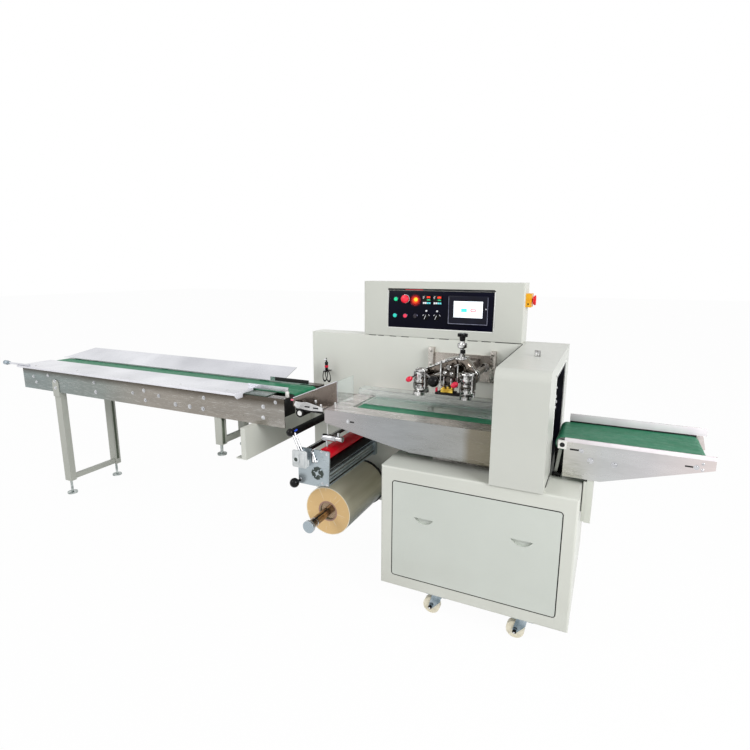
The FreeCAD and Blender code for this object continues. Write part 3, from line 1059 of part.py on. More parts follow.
def outfeed():
    top = OUTFEED_TOP
    outline = [(OUTFEED_LEFT, top - OUTFEED_DROP), (OUTFEED_LEFT + OUTFEED_KNEE, top - OUTFEED_DROP),
               (OUTFEED_RIGHT, top - OUTFEED_END_DROP), (OUTFEED_RIGHT, top), (OUTFEED_LEFT, top)]
    belt_back = OUTFEED_BELT_FRONT + OUTFEED_BELT_WIDTH
    far_front = belt_back + FENCE_GAP
    fence_outline = outline[:3] + [(OUTFEED_RIGHT - FENCE_SLOPE, FENCE_TOP), (OUTFEED_LEFT, FENCE_TOP)]
    save("outfeed_side_plates", plate_xz(outline, OUTFEED_FRONT, OUTFEED_FRONT + SHEET),
         plate_xz(fence_outline, far_front, far_front + SHEET))
    save("outfeed_belt", belt_loop(OUTFEED_BELT_LEFT, OUTFEED_BELT_RIGHT, OUTFEED_BELT_FRONT, belt_back,
                                   top - 1, OUTFEED_ROLLER_RADIUS, BELT_THICKNESS))
    outer = OUTFEED_ROLLER_RADIUS + BELT_THICKNESS
    middle = top - 1 - outer
    rollers = []
    for x in (OUTFEED_BELT_LEFT + outer, OUTFEED_BELT_RIGHT - outer):
        drum = rod_y(OUTFEED_BELT_FRONT, belt_back, x, middle, OUTFEED_ROLLER_RADIUS - BELT_SLACK, TURNED_SIDES)
        axle = rod_y(OUTFEED_FRONT + SHEET, far_front, x, middle, OUTFEED_AXLE_RADIUS, TURNED_SIDES)
        rollers.append(drum.fuse(axle).removeSplitter())
    save("outfeed_rollers", *rollers)
    blocks = []
    x = OUTFEED_BELT_LEFT + outer
    half = OUTFEED_BEARING / 2
    for y in (OUTFEED_FRONT - OUTFEED_BEARING_DEPTH, far_front + SHEET):
        bearing = block(x - half, x + half, y, y + OUTFEED_BEARING_DEPTH, middle - half, middle + half)
        bore = rod_y(y - 1, y + OUTFEED_BEARING_DEPTH + 1, x, middle, OUTFEED_BEARING_BORE, TURNED_SIDES)
        blocks.append(bearing.cut(bore))
    save("outfeed_bearings", *blocks)
    left, front = CABINET_LENGTH + BRACKET_GAP, OUTFEED_FRONT + SHEET
    bracket = block(left, left + BRACKET_LENGTH, front, far_front, BRACKET_BOTTOM,
                    top - 2 * outer - BRACKET_DROP)
    bracket = bracket.fuse(block(left, left + BRACKET_LENGTH, front, front + BRACKET_DEPTH, BRACKET_BOTTOM,
                                 top - OUTFEED_DROP - FREE_GAP))
    pad = block(CABINET_LENGTH, left + 1, front + BRACKET_PAD_INSET, front + BRACKET_DEPTH - BRACKET_PAD_INSET,
                BRACKET_BOTTOM + BRACKET_GAP, CABINET_TOP - BRACKET_GAP)
    save("outfeed_bracket", bracket.fuse(pad).removeSplitter())


def sensor_bracket():
    front, top, wall = BACK_PLANE - SENSOR_REACH, SENSOR_Z + SENSOR_WALL, SENSOR_WALL
    plate = block(SENSOR_X, SENSOR_X + SENSOR_PLATE, front, BACK_PLANE, SENSOR_Z, top)
    head = block(SENSOR_X + wall, SENSOR_X + SENSOR_PLATE - wall, front, front + SENSOR_HEAD_DEPTH,
                 top, top + SENSOR_HEAD_HEIGHT)
    save("sensor_bracket", plate.fuse(head).removeSplitter())


os.makedirs("parts", exist_ok=True)
base_cabinet()
cabinet_door()
castors()
back_housing()
control_box()
control_panel()
isolator()
end_seal_housing()
end_seal_jaws()
trough()
film_guide()
fin_seal_head()
infeed()
infeed_legs()
infeed_beam()
film_unit()
dancer()
film_roll()
outfeed()
sensor_bracket()
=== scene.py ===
import math
import bpy
import bmesh
from mathutils import Matrix, Vector


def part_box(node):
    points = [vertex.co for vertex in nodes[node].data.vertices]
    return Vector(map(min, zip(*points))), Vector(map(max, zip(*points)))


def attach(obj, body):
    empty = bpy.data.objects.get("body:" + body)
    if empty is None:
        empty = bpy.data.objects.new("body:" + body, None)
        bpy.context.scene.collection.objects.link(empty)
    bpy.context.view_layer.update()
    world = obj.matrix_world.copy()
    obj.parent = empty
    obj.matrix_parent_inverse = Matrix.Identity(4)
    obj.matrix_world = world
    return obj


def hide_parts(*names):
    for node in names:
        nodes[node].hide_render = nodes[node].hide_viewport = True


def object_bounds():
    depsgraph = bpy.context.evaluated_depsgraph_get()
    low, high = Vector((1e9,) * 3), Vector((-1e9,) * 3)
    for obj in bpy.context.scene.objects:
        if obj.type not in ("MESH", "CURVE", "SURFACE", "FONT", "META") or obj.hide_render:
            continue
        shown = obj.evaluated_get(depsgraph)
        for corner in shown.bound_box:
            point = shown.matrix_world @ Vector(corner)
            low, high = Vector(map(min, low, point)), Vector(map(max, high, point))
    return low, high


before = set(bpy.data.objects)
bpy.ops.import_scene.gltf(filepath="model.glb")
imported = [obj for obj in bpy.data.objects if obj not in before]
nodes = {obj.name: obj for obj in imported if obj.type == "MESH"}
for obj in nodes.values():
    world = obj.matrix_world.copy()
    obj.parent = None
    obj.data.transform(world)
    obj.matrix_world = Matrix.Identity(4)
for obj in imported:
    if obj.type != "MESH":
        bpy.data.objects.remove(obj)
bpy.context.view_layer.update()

# Camera, lamps and floor
# The view is the photograph's own: from the front, a little to the right of the base cabinet and
# above it. Two soft lamps and an even sky light a pale floor and background.
CAMERA_PLACE = (1.6536, -2.2571, 1.5069)
CAMERA_TURN, CAMERA_DOWN, CAMERA_ROLL = 25.08, 11.67, 0.19
FOCAL_PIXELS, FRAME_PIXELS = 505.9, 750
SKY_STRENGTH = 0.52
FLOOR_SIZE, FLOOR_GLOW, FLOOR_GREY = 60.0, 0.97, (0.86, 0.86, 0.85, 1.0)
LAMPS = (("lamp_front_left", (-3.2, -4.6, 4.6), 3.4, 128.0), ("lamp_right", (5.2, -2.2, 3.3), 2.4, 190.0))

scene = bpy.context.scene
scene.view_settings.view_transform = "Standard"
camera = bpy.data.objects.new("camera", bpy.data.cameras.new("camera"))
camera.data.lens = FOCAL_PIXELS / FRAME_PIXELS * camera.data.sensor_width
camera.data.clip_end = 200.0
camera.matrix_world = (Matrix.Translation(CAMERA_PLACE)
                       @ Matrix.Rotation(math.radians(CAMERA_TURN), 4, "Z")
                       @ Matrix.Rotation(math.radians(90.0 - CAMERA_DOWN), 4, "X")
                       @ Matrix.Rotation(math.radians(CAMERA_ROLL), 4, "Z"))
scene.collection.objects.link(camera)
scene.camera = camera

lo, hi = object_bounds()
middle = (lo + hi) / 2
for name, place, size, power in LAMPS:
    lamp = bpy.data.objects.new(name, bpy.data.lights.new(name, "AREA"))
    lamp.data.size = size
    lamp.data.energy = power
    lamp.location = place
    lamp.rotation_euler = (Vector(place) - middle).to_track_quat("Z", "Y").to_euler()
    scene.collection.objects.link(lamp)


def tint(red, green, blue):
    """A linear colour from display values between 0 and 255."""
    return tuple(pow(value / 255.0, 2.2) for value in (red, green, blue)) + (1.0,)


class Wire:
    """A shader socket. Python's operators on it add Math nodes, and add() makes any other node."""

    def __init__(self, tree, socket=None):
        self.tree = tree
        self.socket = socket

    def add(self, kind, settings=None, inputs=None, out=0):
        node = self.tree.nodes.new(kind)
        for key, value in (settings or {}).items():
            if key == "stops":
                ramp = node.color_ramp
                while len(ramp.elements) < len(value):
                    ramp.elements.new(1.0)
                for element, (place, colour) in zip(ramp.elements, value):
                    element.position = place
                    element.color = colour
            else:
                setattr(node, key, value)
        for key, value in (inputs or {}).items():
            if isinstance(value, Wire):
                self.tree.links.new(value.socket, node.inputs[key])
            elif value is not None:
                node.inputs[key].default_value = value
        return Wire(self.tree, node.outputs[out] if node.outputs else None)

    def maths(self, operation, *values):
        return self.add("ShaderNodeMath", {"operation": operation}, dict(enumerate(values)))

    def __add__(self, other):
        return self.maths("ADD", self, other)

    def __sub__(self, other):
        return self.maths("SUBTRACT", self, other)

    def __rsub__(self, other):
        return self.maths("SUBTRACT", other, self)

    def __mul__(self, other):
        return self.maths("MULTIPLY", self, other)

    def __gt__(self, other):
        return self.maths("GREATER_THAN", self, other)

    def __lt__(self, other):
        return self.maths("LESS_THAN", self, other)

    def __abs__(self):
        return self.maths("ABSOLUTE", self)

    __radd__ = __add__
    __rmul__ = __mul__

    def ramp(self, low, high):
        """This number's share of the way from low to high, kept between 0 and 1."""
        return self.add("ShaderNodeMapRange", {"clamp": True},
                        {"Value": self, "From Min": low, "From Max": high})

    def mixed(self, first, second):
        """A colour between two others, display values or sockets; this is the second one's share."""
        first, second = [tint(*value) if isinstance(value, tuple) else value for value in (first, second)]
        return self.add("ShaderNodeMix", {"data_type": "RGBA"}, {0: self, 6: first, 7: second}, out=2)

    def place(self, stretch=(1.0, 1.0, 1.0), turn=(0.0, 0.0, 0.0), shift=(0.0, 0.0, 0.0)):
        """Object coordinates, stretched or turned for a pattern."""
        here = self.add("ShaderNodeTexCoord", out="Object")
        return self.add("ShaderNodeMapping", {},
                        {"Vector": here, "Location": shift, "Rotation": turn, "Scale": stretch})

    def axes(self, names, vector=None, **where):
        """The named axes of a vector, or of the place on the piece, each as a number."""
        split = self.add("ShaderNodeSeparateXYZ", {}, {0: vector or self.place(**where)})
        return [Wire(self.tree, split.socket.node.outputs[name]) for name in names]

    def outward(self):
        """How far the surface looks to the back, 1, or to the front, -1."""
        return self.axes("Y", self.add("ShaderNodeNewGeometry", out="Normal"))[0]

    def noise(self, scale, detail=2.0, roughness=0.5, vector=None, **where):
        return self.add("ShaderNodeTexNoise", {}, {"Vector": vector or self.place(**where), "Scale": scale,
                                                   "Detail": detail, "Roughness": roughness})

    def bump(self, height, strength, depth):
        return self.add("ShaderNodeBump", {}, {"Height": height, "Strength": strength, "Distance": depth})


def bare_tree(owner):
    owner.use_nodes = True
    owner.node_tree.nodes.clear()
    return Wire(owner.node_tree)


def seen_sharply(wire):
    """One for what the camera, a mirror or glass shows, and nought for soft light."""
    outputs = wire.add("ShaderNodeLightPath").socket.node.outputs
    seen, glossy, through = (Wire(wire.tree, outputs["Is %s Ray" % kind])
                             for kind in ("Camera", "Glossy", "Transmission"))
    return seen.maths("MAXIMUM", seen.maths("MAXIMUM", seen, glossy), through)


WHITE = (1.0, 1.0, 1.0, 1.0)
scene.world = bpy.data.worlds.new("studio_sky")
wire = bare_tree(scene.world)
strength = seen_sharply(wire) * (1.0 - SKY_STRENGTH) + SKY_STRENGTH
sky = wire.add("ShaderNodeBackground", {}, {"Color": WHITE, "Strength": strength})
wire.add("ShaderNodeOutputWorld", {}, {"Surface": sky})

floor_bm = bmesh.new()
bmesh.ops.create_grid(floor_bm, x_segments=1, y_segments=1, size=FLOOR_SIZE / 2)
floor_mesh = bpy.data.meshes.new("floor")
floor_bm.to_mesh(floor_mesh)
floor_bm.free()
floor = bpy.data.objects.new("floor", floor_mesh)
scene.collection.objects.link(floor)
floor_paint = bpy.data.materials.new("floor")
wire = bare_tree(floor_paint)
matt = wire.add("ShaderNodeBsdfDiffuse", {}, {"Color": FLOOR_GREY})
glow = wire.add("ShaderNodeEmission", {}, {"Color": WHITE, "Strength": 1.0})
surface = wire.add("ShaderNodeMixShader", {}, {0: seen_sharply(wire) * FLOOR_GLOW, 1: matt, 2: glow})
wire.add("ShaderNodeOutputMaterial", {}, {"Surface": surface})
floor.data.materials.append(floor_paint)

# Painted housings: base cabinet, door, back housing, control box, end seal housing, beam and legs
# They are folded steel sheet with a warm light grey powder coat, which is faintly dimpled like
# orange peel, a little cloudy, and greyed by dust low down. The back housing's coat is a lighter
# copy, as painted light, and the end seal housing's a darker copy, as painted shade.
PAINT = (208, 210, 202)
BACK_PAINTED_LIGHT = (224, 226, 218)
HOUSING_PAINTED_SHADE = (198, 200, 193)
PAINT_DUST = (178, 177, 168)
SEAM_WIDTH, SCREW_INSET, SCREW_RADIUS, LOUVRES_A_METRE = 0.0034, 0.018, 0.00548, 34.0


def start_material(name):
    made = bpy.data.materials.new(name)
    made.use_nodes = True
    return made, Wire(made.node_tree)


def finish(made, values):
    """Link or set the named sockets of the material's shader."""
    inputs = made.node_tree.nodes["Principled BSDF"].inputs
    for key, value in values.items():
        if isinstance(value, Wire):
            made.node_tree.links.new(value.socket, inputs[key])
        else:
            inputs[key].default_value = value
    return made


def rear_covers(wire, colour, covers):
    """Flush screwed covers on faces that look back: a dark seam, corner screws and a share of louvres."""
    across, height = wire.axes("XZ")
    back = wire.outward() > 0.7
    for left, right, low, high, louvres in covers:
        half_x, half_z = (right - left) / 2, (high - low) / 2
        side, rise = abs(across - (left + right) / 2), abs(height - (low + high) / 2)
        reach = side.maths("MAXIMUM", side - half_x, rise - half_z)
        colour = ((abs(reach) < SEAM_WIDTH / 2) * back).mixed(colour, (96, 97, 93))
        field = (side < half_x * 0.5) * (rise < half_z * louvres)
        lines = (height.maths("FRACT", height * LOUVRES_A_METRE) > 0.62) * field
        colour = (lines * back).mixed(colour, (70, 70, 68))
        corner_x, corner_z = side - (half_x - SCREW_INSET), rise - (half_z - SCREW_INSET)
        screw = (corner_x * corner_x + corner_z * corner_z) < SCREW_RADIUS * SCREW_RADIUS
        colour = (screw * back).mixed(colour, (140, 141, 138))
    return colour


def painted(name, colour, cloud, covers=()):
    """Powder coat, with soft patches that are darker by cloud."""
    made, wire = start_material(name)
    height, = wire.axes("Z")
    low_down = (1.0 - height.ramp(0.0, 0.35)) * wire.noise(7.0, 4.0).ramp(0.35, 0.75) * 0.45
    body = wire.noise(1.7, 3.0).ramp(0.35, 0.7).mixed(colour, tuple(value - cloud for value in colour))
    coat = low_down.mixed(body, PAINT_DUST)
    return finish(made, {
        "Base Color": rear_covers(wire, coat, covers) if covers else coat,
        "Roughness": wire.noise(34.0, 3.0).ramp(0.3, 0.7) * 0.1 + 0.33,
        "Normal": wire.bump(wire.noise(520.0, 1.5), 0.12, 0.0004),
        "Coat Roughness": 0.2,
        "Coat Weight": wire.noise(3.0, 2.0).ramp(0.3, 0.8) * 0.15 + 0.1})


def dress(material, *names):
    for name in names:
        nodes[name].material_slots[0].material = material


paint = painted("body_paint", PAINT, 7, [(0.86, 1.545, 0.18, 0.61, 0.35), (0.44, 1.22, 1.185, 1.42, 0.0)])
dress(paint, "base_cabinet", "control_box", "outfeed_bracket", "infeed_beam")
# Painted light and shade: the back housing gets a lighter copy of the paint, the end seal housing a darker
# one.
dress(painted("back_paint_lit", BACK_PAINTED_LIGHT, 6,
              [(0.12, 0.74, 0.24, 1.08, 0.0), (0.83, 1.22, 0.74, 1.1, 0.3)]), "back_housing")
dress(painted("housing_paint_shaded", HOUSING_PAINTED_SHADE, 6,
              [(1.295, 1.447, 0.73, 1.12, 0.0)]), "end_seal_housing")
dress(painted("door_paint", (201, 206, 199), 7), "cabinet_door")

# Stainless sheet: trough table and front panel, film guide, infeed side plates, bed and wings,
# and outfeed side plates. It is cold rolled sheet with a fine grain along the machine, folded and
# hand polished, so its reflections are blotchy and its tone changes from piece to piece. Shade is
# painted on some of it: along the infeed plates' tops, on the trough's right end and on the bed.
WING_DARK = (196, 197, 203)
WING_LIGHT = (232, 233, 238)


def metal(name, dark, light, smooth, rough, grain=(1.5, 40.0, 40.0), patch=5.0, dent=0.25, shine=1.0):
    made, wire = start_material(name)
    streak = wire.noise(30.0, 4.0, 0.6, stretch=grain)
    cloud = wire.noise(patch, 2.0, 0.5)
    tone = (streak * 0.35 + cloud * 0.65).ramp(0.34, 0.66)
    dull = (streak * 0.5 + wire.noise(patch * 2.3, 3.0) * 0.5).ramp(0.35, 0.65)
    return finish(made, {
        "Base Color": tone.mixed(dark, light),
        "Metallic": shine,
        "Roughness": dull * (rough - smooth) + smooth,
        "Normal": wire.bump(cloud * 0.8 + streak * 0.02, dent, 0.01)})


wing_steel = metal("wing_sheet", WING_DARK, WING_LIGHT, 0.18, 0.3, patch=3.0, dent=0.3)
# The bed is coloured dark green-grey: painted shade in the narrow strip seen between the rail and the side
# plate.
dress(metal("bed_painted_shade", (40, 62, 50), (84, 98, 88), 0.2, 0.4, patch=6.0, dent=0.3, shine=0.6),
      "infeed_bed")
dress(wing_steel, "infeed_wings")


def toned_metal(name, stops, first, last, smooth, rough, scratch=0.25, cloudy=0.22, band=None, dent=0.4,
                shine=1.0):
    """Sheet whose tone changes along the machine: stops are shares of the way from first to last."""
    made, wire = start_material(name)
    along, height = wire.axes("XZ")
    wander = wire.noise(2.2, 3.0) * 0.12 - 0.06
    ramp = wire.add("ShaderNodeValToRGB", {"stops": [(place, tint(*colour)) for place, colour in stops]},
                    {"Fac": along.ramp(first, last) + wander})
    cloud = wire.noise(6.0, 4.0, 0.6, stretch=(0.7, 2.5, 2.5)).ramp(0.38, 0.68)
    scratches = wire.noise(34.0, 6.0, 0.75, stretch=(0.6, 9.0, 9.0)).ramp(0.55, 0.72)
    tone = (cloud * cloudy).mixed(ramp, (112, 108, 102))
    tone = (scratches * scratch).mixed(tone, (232, 232, 230))
    # The band between the two heights is darkened: painted shade and the dark reflection of the wing's
    # underside.
    if band:
        tone = (height.ramp(*band) * 0.82).mixed(tone, (70, 62, 52))
    return finish(made, {
        "Base Color": tone,
        "Metallic": shine,
        "Roughness": cloud * (rough - smooth) + smooth,
        "Normal": wire.bump(cloud * 0.7 + scratches * 0.05, dent, 0.008)})


# The infeed plates' tops darken under the wings' overhang: painted shade.
dress(toned_metal("infeed_plate_sheet",
                  [(0.0, (138, 150, 150)), (0.35, (142, 150, 146)), (0.55, (162, 156, 148)),
                   (0.78, (152, 146, 138)), (1.0, (156, 152, 146))], -1.95, 0.19, 0.22, 0.36, 0.7, 0.3,
                  (0.812, 0.848)), "infeed_side_plates")
# The table's last stops darken its right end: painted shadow of the end seal housing.
dress(toned_metal("trough_table_sheet",
                  [(0.0, (222, 214, 214)), (0.5, (206, 202, 200)), (0.84, (176, 172, 164)),
                   (0.92, (132, 128, 114))], 0.45, 1.27, 0.2, 0.36, 0.6, 0.3, shine=0.6), "trough_table")
# The panel's last stops darken its right end: painted shadow of the end seal housing.
dress(toned_metal("trough_panel_sheet",
                  [(0.0, (176, 171, 171)), (0.3, (164, 166, 168)), (0.5, (156, 159, 160)),
                   (0.82, (160, 161, 158)), (0.86, (130, 124, 110)), (1.0, (114, 110, 94))], 0.457, 1.268,
                  0.2, 0.34, 0.16, 0.2), "trough_front_panel")
dress(toned_metal("outfeed_plate_sheet",
                  [(0.0, (204, 202, 194)), (0.3, (198, 200, 200)), (0.6, (206, 204, 206)),
                   (1.0, (234, 222, 220))], 1.52, 2.03, 0.24, 0.36, 0.2, 0.16), "outfeed_side_plates")
dress(metal("guide_sheet", (100, 92, 86), (138, 128, 120), 0.2, 0.34, patch=7.0, dent=0.3), "film_guide")

# Belts: infeed, trough and outfeed
# Endless green conveyor belts, PVC on woven cloth, two millimetres thick. They are joined by
# hot pressing, run on steel rollers, and are rubbed paler where the products ride.
BELT_INFEED = ((4, 106, 70), (24, 134, 94))
BELT_TROUGH = ((14, 110, 76), (58, 138, 106))
BELT_OUTFEED = ((26, 106, 74), (52, 126, 96))
BELT_THREADS = 1400.0


def belting(name, deep, rubbed):
    made, wire = start_material(name)
    warp = wire.add("ShaderNodeTexWave", {"bands_direction": "X"},
                    {"Vector": wire.place(), "Scale": BELT_THREADS})
    weft = wire.add("ShaderNodeTexWave", {"bands_direction": "Y"},
                    {"Vector": wire.place(), "Scale": BELT_THREADS})
    rub = wire.noise(9.0, 4.0, 0.6, stretch=(0.6, 5.0, 1.0)).ramp(0.35, 0.72)
    return finish(made, {
        "Base Color": rub.mixed(deep, rubbed),
        "Roughness": wire.noise(40.0, 3.0).ramp(0.3, 0.7) * 0.16 + 0.36,
        "Specular IOR Level": 0.25,
        "Normal": wire.bump(warp * weft, 0.25, 0.0003)})


dress(belting("infeed_belting", *BELT_INFEED), "infeed_belt")
dress(belting("trough_belting", *BELT_TROUGH), "trough_belt")
dress(belting("outfeed_belting", *BELT_OUTFEED), "outfeed_belt")
roller_steel = metal("roller_steel", (120, 120, 118), (176, 176, 174), 0.2, 0.36, (40.0, 3.0, 40.0))
dress(roller_steel, "infeed_rollers", "outfeed_rollers")

# Control panel
# A navy film over a plate in the control box's recess. It carries chrome-ringed buttons, two square
# temperature meters with lit figures, and black knobs; the plate is screwed in from behind.
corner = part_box("base_cabinet")[0]
MILLIMETRES = Matrix.Translation((corner[0], corner[1], 0.0)) @ Matrix.Scale(0.001, 4)
PANEL_FACE = 654.0
PANEL_NAVY = (4, 5, 25)
PANEL_BLOOM = (8, 9, 30)


def soften(bm, verts, width, steps=2):
    sharp = {edge for vert in verts for edge in vert.link_edges if edge.calc_face_angle(0.0) > 0.5}
    bmesh.ops.bevel(bm, geom=list(sharp), offset=width, segments=steps, profile=0.5, affect="EDGES",
                    material=-1, clamp_overlap=True)


def block(bm, low, high, edge=0.0, turn=None):
    low, high = Vector(low), Vector(high)
    verts = bmesh.ops.create_cube(bm, size=1.0)["verts"]
    bmesh.ops.scale(bm, vec=high - low, verts=verts)
    if turn:
        bmesh.ops.rotate(bm, matrix=Matrix.Rotation(math.radians(turn[0]), 3, turn[1]), verts=verts)
    bmesh.ops.translate(bm, vec=(low + high) / 2, verts=verts)
    if edge:
        soften(bm, verts, edge)


def stand(place, along):
    """What takes a shape on the Z axis to a place and lays it along a direction."""
    return Matrix.Translation(place) @ Vector(along).to_track_quat("Z", "Y").to_matrix().to_4x4()


def rod(bm, start, end, radius, edge=0.0, sides=24, tip=None):
    start, end = Vector(start), Vector(end)
    verts = bmesh.ops.create_cone(bm, cap_ends=True, segments=sides, radius1=radius, radius2=tip or radius,
                                  depth=(end - start).length)["verts"]
    bmesh.ops.transform(bm, matrix=stand((start + end) / 2, end - start), verts=verts)
    if edge:
        soften(bm, verts, edge)


def prism(bm, outline, axis, low, high, edge=0.0):
    """A flat outline pushed out along one axis; its pairs are the two other coordinates, in order."""
    place = "XYZ".index(axis)
    face = bm.faces.new([bm.verts.new((*pair[:place], low, *pair[place:])) for pair in outline])
    grown = bmesh.ops.extrude_face_region(bm, geom=[face])["geom"]
    moved = [item for item in grown if isinstance(item, bmesh.types.BMVert)]
    bmesh.ops.translate(bm, vec=[(high - low) * (axis == name) for name in "XYZ"], verts=moved)
    if edge:
        soften(bm, moved + list(face.verts), edge)


def turned(bm, start, along, profile, sides=32):
    """A turned shape: pairs of distance along its axis and radius, spun about the axis."""
    base = stand(start, along)
    verts = [bm.verts.new(base @ Vector((radius, 0.0, place))) for place, radius in profile]
    edges = [bm.edges.new(pair) for pair in zip(verts, verts[1:])]
    bmesh.ops.spin(bm, geom=verts + edges, cent=Vector(start), axis=Vector(along).normalized(),
                   dvec=(0, 0, 0), angle=math.tau, steps=sides, use_merge=True)
    bmesh.ops.remove_doubles(bm, verts=[v for v in bm.verts if v.is_valid], dist=0.001)


def piece(name, bm, material, body="machine", stands_for=()):
    bmesh.ops.recalc_face_normals(bm, faces=bm.faces)
    bmesh.ops.transform(bm, matrix=MILLIMETRES, verts=bm.verts)
    mesh = bpy.data.meshes.new(name)
    bm.to_mesh(mesh)
    bm.free()
    mesh.polygons.foreach_set("use_smooth", [True] * len(mesh.polygons))
    mesh.set_sharp_from_angle(angle=math.radians(32))
    mesh.materials.append(material)
    made = bpy.data.objects.new(name, mesh)
    scene.collection.objects.link(made)
    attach(made, body)
    if stands_for:
        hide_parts(*stands_for)
    return made


def moulded(name, colour, worn, rough=0.3, speck=60.0, glow=0.0, gleam=0.5):
    """Plastic or rubber: a little cloudy, with a fine moulded grain; glow is for lit caps."""
    made, wire = start_material(name)
    shade = wire.noise(speck, 3.0).ramp(0.35, 0.7).mixed(colour, worn)
    values = {
        "Base Color": shade,
        "Roughness": wire.noise(speck * 2, 2.0).ramp(0.3, 0.7) * 0.14 + rough,
        "Normal": wire.bump(wire.noise(speck * 12, 2.0), 0.15, 0.0004),
        "Specular IOR Level": gleam,
        "Emission Strength": glow}
    if glow:
        values["Emission Color"] = shade
    return finish(made, values)


panel_film = moulded("panel_film", PANEL_NAVY, PANEL_BLOOM, 0.3, 8.0, gleam=0.1)
dress(panel_film, "control_panel")
chrome = metal("chrome_plate", (176, 177, 180), (226, 227, 230), 0.06, 0.16, (8.0, 8.0, 8.0), 12.0, 0.1)
black_plastic = moulded("black_plastic", (10, 10, 11), (22, 22, 24), 0.22, gleam=0.2)


def build(name, material, shapes, body="machine", stands_for=()):
    """One piece from a list of shapes, each with its adding function first."""
    bm = bmesh.new()
    for add, *values in shapes:
        add(bm, *values)
    return piece(name, bm, material, body, stands_for)


TOP_ROW, MIDDLE_ROW, LOW_ROW = 1357.0, 1299.0, 1269.0
OUTWARD = (0, -1, 0)
BUTTON_RING = [(0, 14), (2.5, 14), (4, 13), (5, 11), (3, 10.8)]
BUTTON_CAP = [(2, 10.5), (7, 10.5), (9.5, 9), (10.4, 0.0)]
SELECTOR_X = (-36.0, 23.0)
STOP_BUTTON = (-157, PANEL_FACE, 1359)
LINING = 657.2

build("button_rings",
      metal("ring_dark", (40, 42, 58), (84, 86, 100), 0.12, 0.2, (8.0, 8.0, 8.0), 12.0, 0.1),
      [(turned, (x, PANEL_FACE, z), OUTWARD, BUTTON_RING)
       for x, z in ((-212, TOP_ROW), (-97, TOP_ROW), (-217, LOW_ROW), (-158, LOW_ROW), (-100, LOW_ROW))],
      stands_for=["panel_controls"])
for label, x, z, colour, glow in (("green", -212, TOP_ROW, (24, 196, 134), 0.55),
                                  ("amber", -97, TOP_ROW, (255, 168, 40), 1.5),
                                  ("cyan", -217, LOW_ROW, (40, 198, 180), 0.55),
                                  ("rose", -158, LOW_ROW, (226, 56, 84), 0.5),
                                  ("unlit", -100, LOW_ROW, (40, 34, 44), 0.0)):
    low = tuple(value * 0.85 for value in colour)
    build("button_" + label, moulded("cap_" + label, colour, low, 0.2, 40.0, glow),
          [(turned, (x, PANEL_FACE, z), OUTWARD, BUTTON_CAP)])
# The stop button glows faintly though it holds no lamp: a painted brightness.
build("stop_mushroom", moulded("mushroom_red", (232, 24, 50), (240, 56, 74), 0.22, 30.0, 0.25),
      [(turned, STOP_BUTTON, OUTWARD,
        [(0, 13), (9, 13), (11, 19), (15, 21.5), (20, 20), (24, 14), (25.5, 0.0)])])
build("stop_ring", chrome, [(turned, STOP_BUTTON, OUTWARD,
                             [(0, 23), (1.5, 23), (2.5, 21), (1.0, 14)])])

build("panel_sheet", panel_film,
      [(prism, [(-253, 1402), (318, 1402), (313, 1205), (-259, 1205)], "Y", 653.5, 655.0, 0.4)])
# The recess's bottom and sides are lined in paint whiter than the box's: painted light falling into the
# recess, whose top is in shade.
build("recess_lit_lining", painted("recess_lit_white", (240, 241, 238), 8), [
    (block, (-261, 653.6, 1200.3), (323, LINING, 1205.4), 0.4),
    (block, (-261.5, 650, 1201), (-258, LINING, 1408), 0.4),
    (block, (317.5, 650, 1201), (323.5, LINING, 1404), 0.4)])
build("recess_shade", moulded("recess_shade", (44, 44, 46), (70, 70, 70), 0.6, 30.0, gleam=0.1),
      [(block, (-261, 650.5, 1405), (323, LINING, 1413.5), 0.4)])
# A red glowing strip on the recess's top edge beside the amber lamp: a painted reflection of its light.
build("recess_lamp_reflection", moulded("reflection_red", (150, 40, 44), (206, 40, 52), 0.4, 6.0, 0.35),
      [(block, (-158, 650.0, 1405.5), (-58, 650.8, 1410), 0.4)])
# The amber lamp lights the film round it, which fades with the distance from the lamp.
HALO_Z, HALO_RADIUS = TOP_ROW - 4, 36.0
made, wire = start_material("lamp_halo")
across, up = wire.axes("XZ", shift=(-(corner[0] - 0.100), 0.0, -HALO_Z * 0.001))
reach = wire.maths("SQRT", across * across + up * up)
fade = 1.0 - reach.ramp(0.006, 0.036)
fade = fade * fade
finish(made, {
    "Base Color": tint(120, 6, 14),
    "Roughness": 0.5,
    "Emission Strength": 1.0,
    "Emission Color": reach.ramp(0.008, 0.026).mixed((255, 92, 24), (224, 6, 34)),
    "Alpha": fade})
build("lamp_halo", made,
      [(rod, (-100, PANEL_FACE - 5.6, HALO_Z), (-100, PANEL_FACE - 5.2, HALO_Z), HALO_RADIUS, 0.0, 48)])

SELECTOR_KNOB = [(0, 14), (4, 14), (5, 12), (12, 11), (13, 0)]
shapes = []
for x in SELECTOR_X:
    shapes += [
        (block, (x - 24, PANEL_FACE - 7, TOP_ROW - 24), (x + 24, PANEL_FACE, TOP_ROW + 24), 1.5),
        (turned, (x - 3, PANEL_FACE, LOW_ROW - 2), OUTWARD, SELECTOR_KNOB),
        (block, (x - 7, PANEL_FACE - 20, LOW_ROW - 14), (x + 1, PANEL_FACE - 12, LOW_ROW + 10), 2.0,
         (24, "Y"))]
build("meters_and_knobs", black_plastic, shapes)
